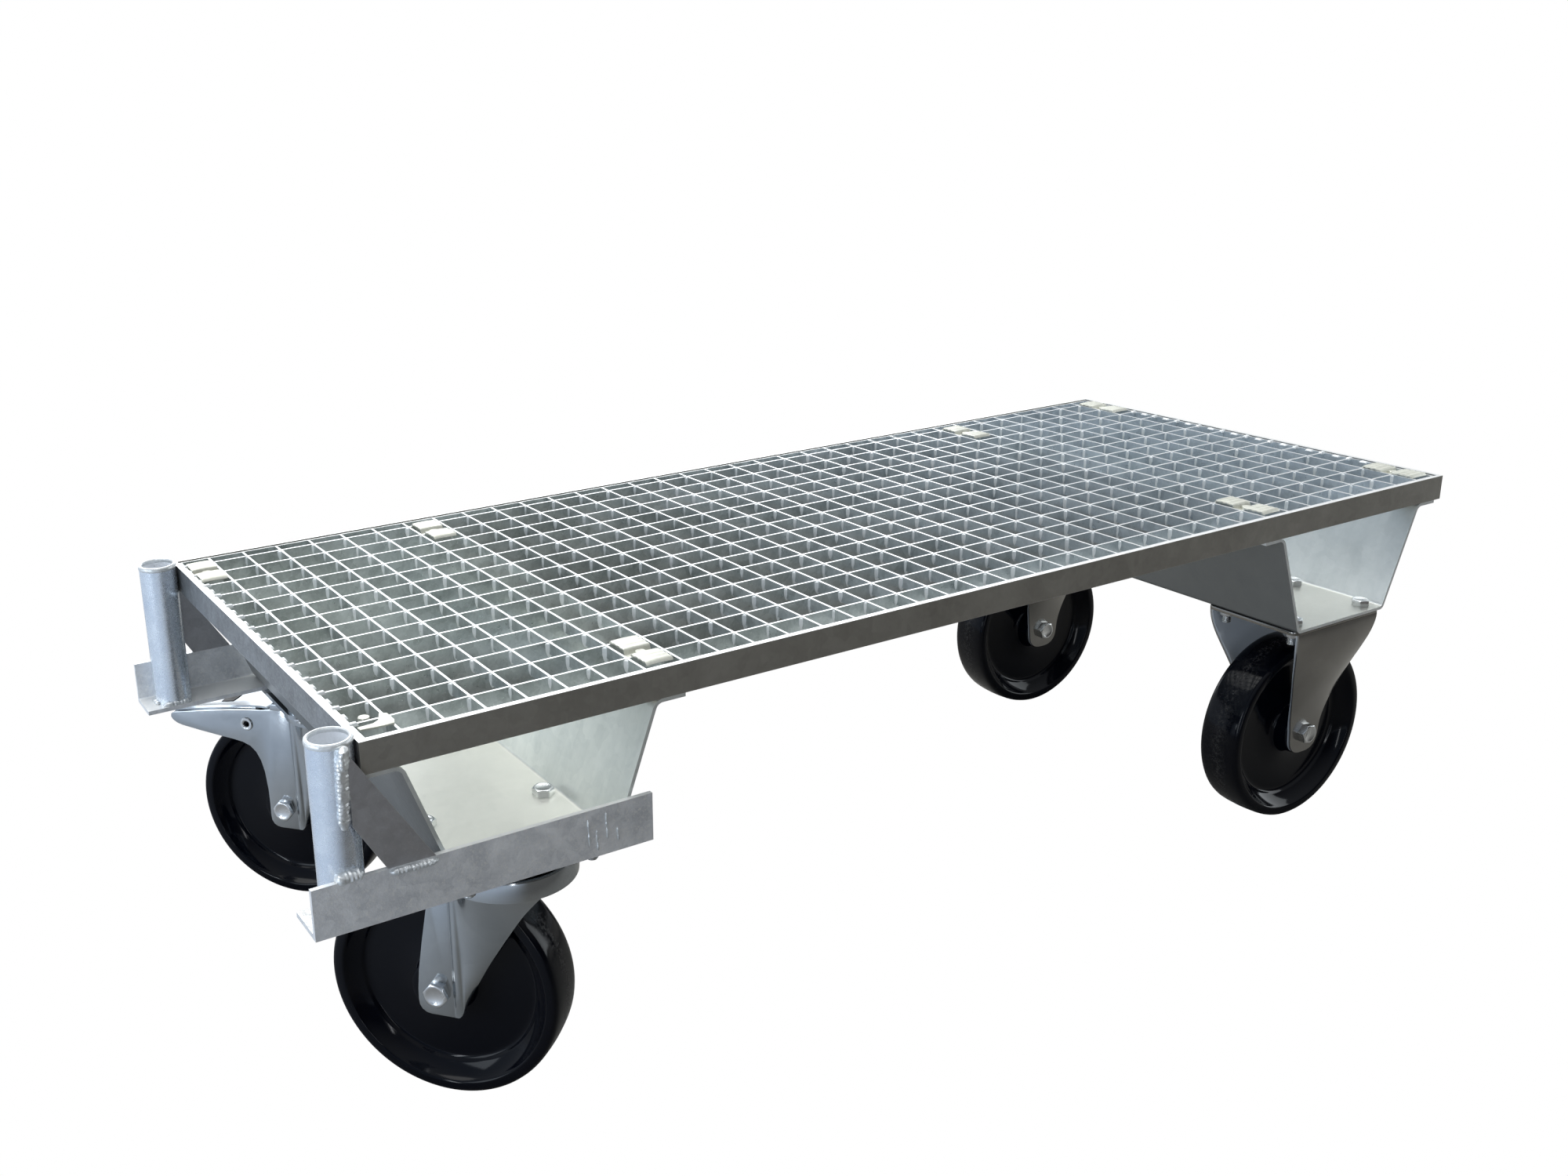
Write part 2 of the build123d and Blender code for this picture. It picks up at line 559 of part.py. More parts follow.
# ---------------------------------------------------------------- assembly
def build():
    """Every node by name, in the working frame."""
    nodes = {
        "deck_rail_near": long_rail(False), "deck_rail_far": long_rail(True),
        "deck_rail_left": end_rail(False), "deck_rail_right": end_rail(True),
        "grating_bearing_bars": bearing_bars(), "grating_cross_bars": cross_bars(),
        "grating_border_bars": border_bars(), "grating_clips": clips(),
        "grating_clip_bolts": clip_bolts(),
        "channel_left": channel(LEFT_X), "channel_right": channel(RIGHT_X),
        "caster_plate_bolts": plate_bolts(), "caster_plate_nuts": plate_nuts(),
        "packing_washers": packing_washers(),
        "brake_pedal": brake_pedal(), "brake_shoe": brake_shoe(),
        "brake_pedal_rivets": pedal_rivets(),
    }
    for side, far in (("near", False), ("far", True)):
        nodes["side_angle_" + side] = side_angle(far)
        nodes["socket_tube_" + side] = socket_tube(far)
        nodes["gusset_" + side] = gusset(far)
        nodes["swivel_plate_" + side] = top_plate(far)
        nodes["kingpin_" + side] = kingpin(far)
        nodes["swivel_balls_" + side] = race_balls(far)
        nodes["swivel_fork_" + side] = swivel_fork(far)
        nodes["fixed_fork_" + side] = fixed_fork(far)
        swivel_angle = SWIVEL_ANGLE_FAR if far else SWIVEL_ANGLE_NEAR
        for kind, x, angle in (("swivel", LEFT_X, swivel_angle), ("fixed", RIGHT_X, 180)):
            end = kind + "_" + side
            nodes["wheel_" + end] = on_axle(wheel_body(), x, far, angle)
            nodes["roller_cage_" + end] = on_axle(roller_cage(), x, far, angle)
            nodes["axle_sleeve_" + end] = on_axle(axle_sleeve(), x, far, angle)
            nodes["axle_bolt_" + end] = on_axle(axle_bolt(), x, far, angle)
            nodes["axle_nut_" + end] = on_axle(axle_nut(), x, far, angle)
    return nodes


def main():
    """Write every node, moved so that the box's bottom centre is the origin."""
    os.makedirs("parts", exist_ok=True)
    nodes = build()
    boxes = [shape.bounding_box() for shape in nodes.values()]
    low = Vector(*(min(getattr(box.min, axis) for box in boxes) for axis in "XYZ"))
    high = Vector(*(max(getattr(box.max, axis) for box in boxes) for axis in "XYZ"))
    shift = Pos(-(low.X + high.X) / 2, -(low.Y + high.Y) / 2, -low.Z)
    for name, shape in nodes.items():
        export_step(shift * shape, "parts/" + name + ".step")
    print("working origin is at", shift.position, "size", high - low)


if __name__ == "__main__":
    main()
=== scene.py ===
"""Looks of a galvanised flatbed platform truck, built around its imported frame."""
import json
import logging
import math
import random
from contextlib import contextmanager
from dataclasses import dataclass
from enum import Enum
from typing import Callable, Iterable, Iterator, Sequence

import bmesh
import bpy
from mathutils import Matrix, Vector

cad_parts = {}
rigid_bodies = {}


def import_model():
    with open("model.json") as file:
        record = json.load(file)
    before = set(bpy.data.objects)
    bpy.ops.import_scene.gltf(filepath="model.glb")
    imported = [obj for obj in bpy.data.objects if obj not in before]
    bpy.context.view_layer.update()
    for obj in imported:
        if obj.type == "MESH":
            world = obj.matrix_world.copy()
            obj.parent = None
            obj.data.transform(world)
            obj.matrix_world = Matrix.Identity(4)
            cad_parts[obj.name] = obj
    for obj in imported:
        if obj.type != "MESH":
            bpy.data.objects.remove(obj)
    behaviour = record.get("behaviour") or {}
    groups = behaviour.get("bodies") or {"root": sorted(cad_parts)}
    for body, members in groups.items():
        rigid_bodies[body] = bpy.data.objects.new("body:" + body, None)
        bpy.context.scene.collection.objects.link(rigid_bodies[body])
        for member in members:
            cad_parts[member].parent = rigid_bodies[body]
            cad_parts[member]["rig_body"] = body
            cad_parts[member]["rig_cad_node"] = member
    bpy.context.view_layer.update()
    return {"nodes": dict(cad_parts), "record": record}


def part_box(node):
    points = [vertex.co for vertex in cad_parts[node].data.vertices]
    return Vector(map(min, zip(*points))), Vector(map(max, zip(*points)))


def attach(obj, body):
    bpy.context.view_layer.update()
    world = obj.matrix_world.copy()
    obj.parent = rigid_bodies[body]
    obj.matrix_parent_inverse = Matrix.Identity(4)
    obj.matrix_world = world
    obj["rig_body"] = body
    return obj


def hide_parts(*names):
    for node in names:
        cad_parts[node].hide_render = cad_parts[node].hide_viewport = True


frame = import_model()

LOG = logging.getLogger("platform_truck")
MM = 0.001
Point = tuple[float, float, float]
Colour = tuple[float, float, float]
DRAW = random.Random(7)     # every random size and turn, drawn in one fixed order
MERGE = 0.00001             # corners nearer than this are one, in metres
UPWARD = 0.99               # a face whose normal rises this far is level
FLAT_FACE = 1e-5            # the level face of a hexagon is larger than this, in square metres
CUT_EDGE = math.radians(50)  # a sheet's cut edges are sharper than this


# ---------------------------------------------------------------- places
class Side(Enum):
    """The two long sides of the deck."""

    NEAR = "near"
    FAR = "far"


class Caster(Enum):
    """The two kinds of caster."""

    SWIVEL = "swivel"
    FIXED = "fixed"


@dataclass(frozen=True)
class Deck:
    """Deck coordinates in millimetres: x from the handle end, y from the near side, z from the floor."""

    corner: Vector
    length: float = 1200.0
    width: float = 490.0

    @classmethod
    def from_frame(cls) -> "Deck":
        """Read the deck's corner from its near rail."""
        low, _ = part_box("deck_rail_near")
        return cls(Vector((low.x, low.y, 0.0)))

    def at(self, x: float, y: float, z: float) -> Vector:
        """A point of the deck in metres."""
        return self.corner + Vector((x, y, z)) * MM

    def local(self, x: float, y: float, z: float = 0.0, turn: float = 0.0) -> Matrix:
        """Place of a piece made in metres about its own origin.

        Args:
            x: Millimetres along the deck.
            y: Millimetres across the deck.
            z: Millimetres above the floor.
            turn: Degrees about the upright axis.

        Returns:
            The matrix that moves the piece there.
        """
        return Matrix.Translation(self.at(x, y, z)) @ Matrix.Rotation(math.radians(turn), 4, "Z")


# ---------------------------------------------------------------- bench work
class Bench:
    """Edit-mode tools used to shape a piece as by hand. Sizes given to it are millimetres."""

    @staticmethod
    def clear() -> None:
        """Deselect everything."""
        bpy.ops.object.select_all(action="DESELECT")

    @staticmethod
    def only(piece: bpy.types.Object) -> None:
        """Select one piece alone and make it active."""
        Bench.clear()
        bpy.context.view_layer.objects.active = piece
        piece.select_set(True)

    @staticmethod
    def named(name: str) -> bpy.types.Object:
        """Name the new active piece.

        Args:
            name: Name for its object and its mesh.

        Returns:
            The piece.
        """
        piece = bpy.context.object
        piece.name = name
        piece.data.name = name
        return piece

    @staticmethod
    @contextmanager
    def edit(piece: bpy.types.Object, mode: str = "VERT") -> Iterator[bpy.types.Object]:
        """Edit mode on one piece, with nothing selected at the start.

        Args:
            piece: The mesh to shape.
            mode: VERT, EDGE or FACE.

        Yields:
            The same piece.
        """
        Bench.only(piece)
        bpy.ops.object.mode_set(mode="EDIT")
        bpy.ops.mesh.select_mode(type=mode)
        bpy.ops.mesh.select_all(action="DESELECT")
        try:
            yield piece
        finally:
            bpy.ops.object.mode_set(mode="OBJECT")

    @staticmethod
    def pick(piece: bpy.types.Object, kind: str, test: Callable) -> None:
        """Select the parts of the piece in edit mode that pass a test.

        Args:
            piece: The mesh in edit mode.
            kind: verts, edges or faces.
            test: Takes one such part and says whether it is wanted.
        """
        bpy.ops.mesh.select_mode(type={"verts": "VERT", "edges": "EDGE", "faces": "FACE"}[kind])
        bpy.ops.mesh.select_all(action="DESELECT")
        mesh = bmesh.from_edit_mesh(piece.data)
        for part in getattr(mesh, kind):
            if test(part):
                part.select_set(True)
        mesh.select_flush_mode()
        bmesh.update_edit_mesh(piece.data)

    @staticmethod
    def pick_top(piece: bpy.types.Object) -> None:
        """Select the large level top of a piece in edit mode."""
        Bench.pick(piece, "faces", lambda f: f.normal.z > UPWARD and f.calc_area() > FLAT_FACE)

    @staticmethod
    def apply(piece: bpy.types.Object, kind: str, **values: object) -> None:
        """Add a modifier and apply it.

        Args:
            piece: The piece to change.
            kind: The modifier's type.
            **values: Its settings.
        """
        Bench.only(piece)
        tool = piece.modifiers.new(kind.title(), kind)
        for key, value in values.items():
            setattr(tool, key, value)
        bpy.ops.object.modifier_apply(modifier=tool.name)

    @staticmethod
    def soften(piece: bpy.types.Object, width: float, sharp: float = CUT_EDGE) -> None:
        """Round the sharp edges of a piece.

        Args:
            piece: The piece to change.
            width: Width of the rounding in millimetres.
            sharp: Edges that turn more than this are rounded, in radians.
        """
        Bench.apply(piece, "BEVEL", width=width * MM, segments=2, limit_method="ANGLE",
                    angle_limit=sharp)

    @staticmethod
    def tidy(piece: bpy.types.Object, sharp: float = 35.0) -> bpy.types.Object:
        """Merge doubles, point the faces outwards and smooth the soft edges.

        Args:
            piece: The finished mesh.
            sharp: Edges that turn less than this are smooth, in degrees.

        Returns:
            The same piece.
        """
        with Bench.edit(piece):
            bpy.ops.mesh.select_all(action="SELECT")
            bpy.ops.mesh.remove_doubles(threshold=MERGE)
            bpy.ops.mesh.normals_make_consistent(inside=False)
        bpy.ops.object.shade_smooth_by_angle(angle=math.radians(sharp))
        return piece

    @staticmethod
    def put(piece: bpy.types.Object, place: Matrix) -> bpy.types.Object:
        """Move a piece and leave its object at the origin.

        Args:
            piece: The piece to move.
            place: The matrix that takes it there.

        Returns:
            The same piece.
        """
        Bench.only(piece)
        piece.matrix_world = place @ piece.matrix_world
        bpy.ops.object.transform_apply(location=True, rotation=True, scale=True)
        return piece

    @staticmethod
    def copies(piece: bpy.types.Object, places: Iterable[Matrix], name: str) -> bpy.types.Object:
        """Copy a piece to several places and join the copies into one.

        Args:
            piece: The pattern, which is used up.
            places: Where each copy goes.
            name: Name of the joined piece.

        Returns:
            The joined piece.
        """
        made = []
        for place in places:
            copy = piece.copy()
            copy.data = piece.data.copy()
            copy.data.transform(place)
            bpy.context.scene.collection.objects.link(copy)
            made.append(copy)
        bpy.data.objects.remove(piece)
        return Bench.join(made, name)

    @staticmethod
    def join(pieces: Sequence[bpy.types.Object], name: str) -> bpy.types.Object:
        """Join pieces into one mesh.

        Args:
            pieces: The pieces, which are used up.
            name: Name of the joined piece.

        Returns:
            The joined piece.
        """
        Bench.clear()
        for one in pieces:
            one.select_set(True)
        bpy.context.view_layer.objects.active = pieces[0]
        if len(pieces) > 1:
            bpy.ops.object.join()
        return Bench.named(name)

    @staticmethod
    def lathe(name: str, profile: Sequence[tuple[float, float]], segments: int = 96,
              solid: bool = False) -> bpy.types.Object:
        """Turn a profile about Z: a circle is extruded ring by ring, each ring resized and lifted.

        Args:
            name: Name of the piece.
            profile: Radius and height of each ring.
            segments: Steps round the axis.
            solid: Whether the ends are capped. Otherwise the last ring meets the first.

        Returns:
            The turned piece.
        """
        Bench.clear()
        radius, level = profile[0]
        bpy.ops.mesh.primitive_circle_add(vertices=segments, radius=radius * MM,
                                          fill_type="NGON" if solid else "NOTHING",
                                          location=(0, 0, level * MM))
        bpy.ops.object.transform_apply(location=True, rotation=False, scale=False)
        piece = Bench.named(name)
        rings = list(profile[1:]) + ([] if solid else [profile[0]])
        with Bench.edit(piece):
            bpy.ops.mesh.select_all(action="SELECT")
            for r, z in rings:
                bpy.ops.mesh.extrude_region_move()
                if r != radius:
                    bpy.ops.transform.resize(value=(r / radius, r / radius, 1.0))
                bpy.ops.transform.translate(value=(0.0, 0.0, (z - level) * MM))
                radius, level = r, z
        return Bench.tidy(piece)

    @staticmethod
    def plate(name: str, outline: Sequence[tuple[float, float]], thickness: float,
              bevel: float = 0.5) -> bpy.types.Object:
        """A flat plate in X and Z, drawn point by point, filled and given its thickness about Y = 0.

        Args:
            name: Name of the piece.
            outline: Corner points in order.
            thickness: Millimetres of plate.
            bevel: Rounding of its edges.

        Returns:
            The plate.
        """
        Bench.clear()
        bpy.ops.mesh.primitive_plane_add(size=MM)
        piece = Bench.named(name)
        first = outline[0]
        with Bench.edit(piece):
            Bench.pick(piece, "verts", lambda v: v.index > 0)
            bpy.ops.mesh.delete(type="VERT")
            bpy.ops.mesh.select_all(action="SELECT")
            start = bmesh.from_edit_mesh(piece.data).verts[:][0].co.copy()
            bpy.ops.transform.translate(value=Vector((first[0] * MM, 0, first[1] * MM)) - start)
            last = first
            for x, z in outline[1:]:
                step = ((x - last[0]) * MM, 0.0, (z - last[1]) * MM)
                bpy.ops.mesh.extrude_vertices_move(TRANSFORM_OT_translate={"value": step})
                last = (x, z)
            bpy.ops.mesh.select_all(action="SELECT")
            bpy.ops.mesh.edge_face_add()
        Bench.apply(piece, "SOLIDIFY", thickness=thickness * MM, offset=0.0)
        Bench.soften(piece, bevel)
        return piece

    @staticmethod
    def skin(name: str, rows: Sequence[Sequence[Point]], thickness: float,
             smooth: int = 2) -> bpy.types.Object:
        """A pressed sheet: a grid whose corners are pulled to the rows of points.

        Args:
            name: Name of the piece.
            rows: Rows of points in millimetres, all of one length.
            thickness: Wall given to the sheet, on the side away from its normals.
            smooth: Levels of subdivision.

        Returns:
            The sheet.
        """
        Bench.clear()
        tall, wide = len(rows), len(rows[0])
        bpy.ops.mesh.primitive_grid_add(x_subdivisions=wide - 1, y_subdivisions=tall - 1, size=1.0)
        piece = Bench.named(name)
        with Bench.edit(piece):
            mesh = bmesh.from_edit_mesh(piece.data)
            mesh.verts.ensure_lookup_table()
            order = sorted(range(tall * wide), key=lambda i: (round(mesh.verts[i].co.y, 5),
                                                              mesh.verts[i].co.x))
            for place, index in enumerate(order):
                target = Vector(rows[place // wide][place % wide]) * MM
                mesh = bmesh.from_edit_mesh(piece.data)
                mesh.verts.ensure_lookup_table()
                corner = mesh.verts[index]
                bpy.ops.mesh.select_all(action="DESELECT")
                corner.select_set(True)
                mesh.select_flush_mode()
                bpy.ops.transform.translate(value=target - corner.co)
        Bench.apply(piece, "SUBSURF", levels=smooth, render_levels=smooth)
        Bench.apply(piece, "SOLIDIFY", thickness=thickness * MM, offset=-1.0)
        return piece

    @staticmethod
    def mark(piece: bpy.types.Object, name: str, level: Callable) -> None:
        """Give a piece an attribute that its finish reads.

        Args:
            piece: The finished mesh.
            name: Name of the attribute.
            level: Takes a corner and gives its value, which is held between 0 and 1.
        """
        values = piece.data.attributes.new(name, "FLOAT", "POINT").data
        for corner, value in zip(piece.data.vertices, values):
            value.value = max(0.0, min(1.0, level(corner)))


# ---------------------------------------------------------------- shader groups
class Kit:
    """Short calls for building node trees."""

    def __init__(self, tree: bpy.types.NodeTree) -> None:
        """Keep the tree that nodes are added to."""
        self.tree = tree

    def node(self, kind: str, **settings: object) -> bpy.types.Node:
        """Add a node. Settings named after a socket set it, others set the node.

        Args:
            kind: The node's full type.
            **settings: Properties; a key with a capital letter or in_N is an input.

        Returns:
            The node.
        """
        made = self.tree.nodes.new(kind)
        for key, value in settings.items():
            if key.startswith("in_"):
                self.feed(made.inputs[int(key[3:])], value)
            elif key[0].isupper():
                self.feed(made.inputs[key.replace("_", " ")], value)
            else:
                setattr(made, key, value)
        return made

    def feed(self, socket: bpy.types.NodeSocket, value: object) -> None:
        """Link a socket to another, or set its value.

        Args:
            socket: The input.
            value: An output socket, a number, a vector or a colour.
        """
        if isinstance(value, bpy.types.NodeSocket):
            self.tree.links.new(value, socket)
        elif isinstance(value, tuple) and len(value) == 3 and socket.type == "RGBA":
            socket.default_value = (*value, 1.0)
        else:
            socket.default_value = value

    def maths(self, operation: str, first: object, second: object = 0.0,
              third: object = 0.0, clamp: bool = False) -> bpy.types.NodeSocket:
        """Work out a number.

        Args:
            operation: The Math node's operation.
            first: Its first input.
            second: Its second input.
            third: Its third input, for MULTIPLY_ADD.
            clamp: Whether the result is held between 0 and 1.

        Returns:
            The result.
        """
        made = self.node("ShaderNodeMath", operation=operation, use_clamp=clamp, in_0=first, in_1=second)
        if operation == "MULTIPLY_ADD":
            self.feed(made.inputs[2], third)
        return made.outputs[0]

    def span(self, value: object, low: float, high: float, to_low: float = 0.0,
             to_high: float = 1.0) -> bpy.types.NodeSocket:
        """Map a range to another, clamped.

        Args:
            value: What is mapped.
            low: Where the range starts.
            high: Where it ends.
            to_low: The result at its start.
            to_high: The result at its end.

        Returns:
            The mapped value.
        """
        made = self.node("ShaderNodeMapRange", Value=value, From_Min=low, From_Max=high,
                         To_Min=to_low, To_Max=to_high)
        return made.outputs[0]

    def noise(self, where: object, scale: float, detail: float = 3.0,
              rough: float = 0.55) -> bpy.types.NodeSocket:
        """A noise value.

        Args:
            where: Coordinates.
            scale: Patches in a metre.
            detail: Octaves.
            rough: How strong the small ones are.

        Returns:
            The value.
        """
        made = self.node("ShaderNodeTexNoise", Vector=where, Scale=scale, Detail=detail,
                         Roughness=rough)
        return made.outputs["Fac"]

    def mix(self, share: object, first: object, second: object) -> bpy.types.NodeSocket:
        """Mix two colours.

        Args:
            share: How much of the second, from 0 to 1.
            first: The first colour.
            second: The second colour.

        Returns:
            The mixed colour.
        """
        made = self.node("ShaderNodeMix", data_type="RGBA")
        self.feed(made.inputs[0], share)
        self.feed(made.inputs[6], first)
        self.feed(made.inputs[7], second)
        return made.outputs[2]

    def stretched(self, size: Point) -> bpy.types.NodeSocket:
        """Object coordinates scaled along each axis."""
        where = self.node("ShaderNodeTexCoord").outputs["Object"]
        return self.node("ShaderNodeMapping", Vector=where, Scale=size).outputs[0]

    def bump(self, height: object, strength: float, distance: float,
             normal: object = None) -> bpy.types.NodeSocket:
        """Turn a height into relief.

        Args:
            height: The height.
            strength: How strong the relief is.
            distance: How tall it is, in metres.
            normal: Relief that it lies on, if any.

        Returns:
            The normal.
        """
        made = self.node("ShaderNodeBump", Height=height, Strength=strength, Distance=distance)
        if normal is not None:
            self.feed(made.inputs["Normal"], normal)
        return made.outputs[0]


class Effects:
    """Surface effects shared by the finishes, each a node group built once."""

    def __init__(self) -> None:
        """Build every group."""
        self.edges = self._edges()
        self.spangle = self._spangle()
        self.mottle = self._mottle()
        self.dust = self._dust()

    @staticmethod
    def _group(name: str, inputs: dict[str, float],
               *outputs: str) -> tuple[bpy.types.NodeTree, Kit, bpy.types.Node, bpy.types.Node]:
        """A new node group whose sockets are numbers.

        Args:
            name: Name of the group.
            inputs: Starting value of each input.
            *outputs: Name of each output.

        Returns:
            The tree, its kit, its input node and its output node.
        """
        tree = bpy.data.node_groups.new(name, "ShaderNodeTree")
        for key, value in inputs.items():
            socket = tree.interface.new_socket(name=key, in_out="INPUT", socket_type="NodeSocketFloat")
            socket.default_value = value
        for key in outputs:
            tree.interface.new_socket(name=key, in_out="OUTPUT", socket_type="NodeSocketFloat")
        kit = Kit(tree)
        return tree, kit, kit.node("NodeGroupInput"), kit.node("NodeGroupOutput")

    def _edges(self) -> bpy.types.NodeTree:
        """Mask of worn or thickly coated edges, broken up by noise.

        Returns:
            The group.
        """
        tree, kit, enter, leave = self._group("edge wear", {"Reach": 0.001, "Break": 300.0}, "Mask")
        bevel = kit.node("ShaderNodeBevel", samples=4, Radius=enter.outputs["Reach"])
        true = kit.node("ShaderNodeNewGeometry").outputs["Normal"]
        dot = kit.node("ShaderNodeVectorMath", operation="DOT_PRODUCT", in_0=bevel.outputs[0], in_1=true)
        edge = kit.span(dot.outputs["Value"], 0.995, 0.86)
        where = kit.node("ShaderNodeTexCoord").outputs["Object"]
        grit = kit.node("ShaderNodeTexNoise", Vector=where, Scale=enter.outputs["Break"], Detail=3.0)
        torn = kit.span(grit.outputs["Fac"], 0.3, 0.6, 0.35, 1.0)
        kit.feed(leave.inputs["Mask"], kit.maths("MULTIPLY", edge, torn, clamp=True))
        return tree

    def _spangle(self) -> bpy.types.NodeTree:
        """Zinc crystals: a grey level per crystal and a slight relief at their borders.

        Returns:
            The group.
        """
        tree, kit, enter, leave = self._group("zinc spangle", {"Scale": 90.0}, "Level", "Height")
        where = kit.node("ShaderNodeTexCoord").outputs["Object"]
        warp = kit.node("ShaderNodeTexNoise", Vector=where, Scale=60.0, Detail=2.0)
        bent = kit.node("ShaderNodeVectorMath", operation="MULTIPLY_ADD", in_0=warp.outputs["Color"],
                        in_1=(0.012, 0.012, 0.012), in_2=where)
        cells = kit.node("ShaderNodeTexVoronoi", Vector=bent.outputs[0], Scale=enter.outputs["Scale"])
        grey = kit.node("ShaderNodeSeparateColor", Color=cells.outputs["Color"]).outputs[0]
        fine = kit.node("ShaderNodeTexVoronoi", Vector=bent.outputs[0],
                        Scale=kit.maths("MULTIPLY", enter.outputs["Scale"], 3.1))
        grain = kit.node("ShaderNodeSeparateColor", Color=fine.outputs["Color"]).outputs[1]
        level = kit.maths("MULTIPLY_ADD", grain, 0.35, kit.maths("MULTIPLY", grey, 0.65))
        kit.feed(leave.inputs["Level"], level)
        kit.feed(leave.inputs["Height"], cells.outputs["Distance"])
        return tree

    def _mottle(self) -> bpy.types.NodeTree:
        """Cloudy patches at two sizes, from 0 to 1.

        Returns:
            The group.
        """
        tree, kit, enter, leave = self._group("mottle", {"Scale": 14.0, "Fine": 160.0}, "Cloud", "Grit")
        where = kit.node("ShaderNodeTexCoord").outputs["Object"]
        cloud = kit.node("ShaderNodeTexNoise", Vector=where, Scale=enter.outputs["Scale"], Detail=4.0,
                         Distortion=0.6)
        grit = kit.node("ShaderNodeTexNoise", Vector=where, Scale=enter.outputs["Fine"], Detail=5.0,
                        Roughness=0.7)
        kit.feed(leave.inputs["Cloud"], kit.span(cloud.outputs["Fac"], 0.3, 0.7))
        kit.feed(leave.inputs["Grit"], kit.span(grit.outputs["Fac"], 0.3, 0.72))
        return tree

    def _dust(self) -> bpy.types.NodeTree:
        """Mask of dust in patches and specks.

        Returns:
            The group.
        """
        tree, kit, enter, leave = self._group("dust", {"Amount": 0.5}, "Mask")
        where = kit.node("ShaderNodeTexCoord").outputs["Object"]
        film = kit.span(kit.noise(where, 22.0, 5.0, 0.6), 0.42, 0.75)
        specks = kit.span(kit.noise(where, 900.0, 2.0, 0.5), 0.66, 0.72)
        both = kit.maths("MULTIPLY_ADD", specks, 0.5, kit.maths("MULTIPLY", film, 0.5))
        kit.feed(leave.inputs["Mask"], kit.maths("MULTIPLY", both, enter.outputs["Amount"], clamp=True))
        return tree


# ---------------------------------------------------------------- finishes
def principled(name: str) -> tuple[bpy.types.Material, Kit, bpy.types.Node]:
    """Start a material.

    Args:
        name: Name of the material.
    """
    made = bpy.data.materials.new(name)
    made.use_nodes = True
    return made, Kit(made.node_tree), made.node_tree.nodes["Principled BSDF"]


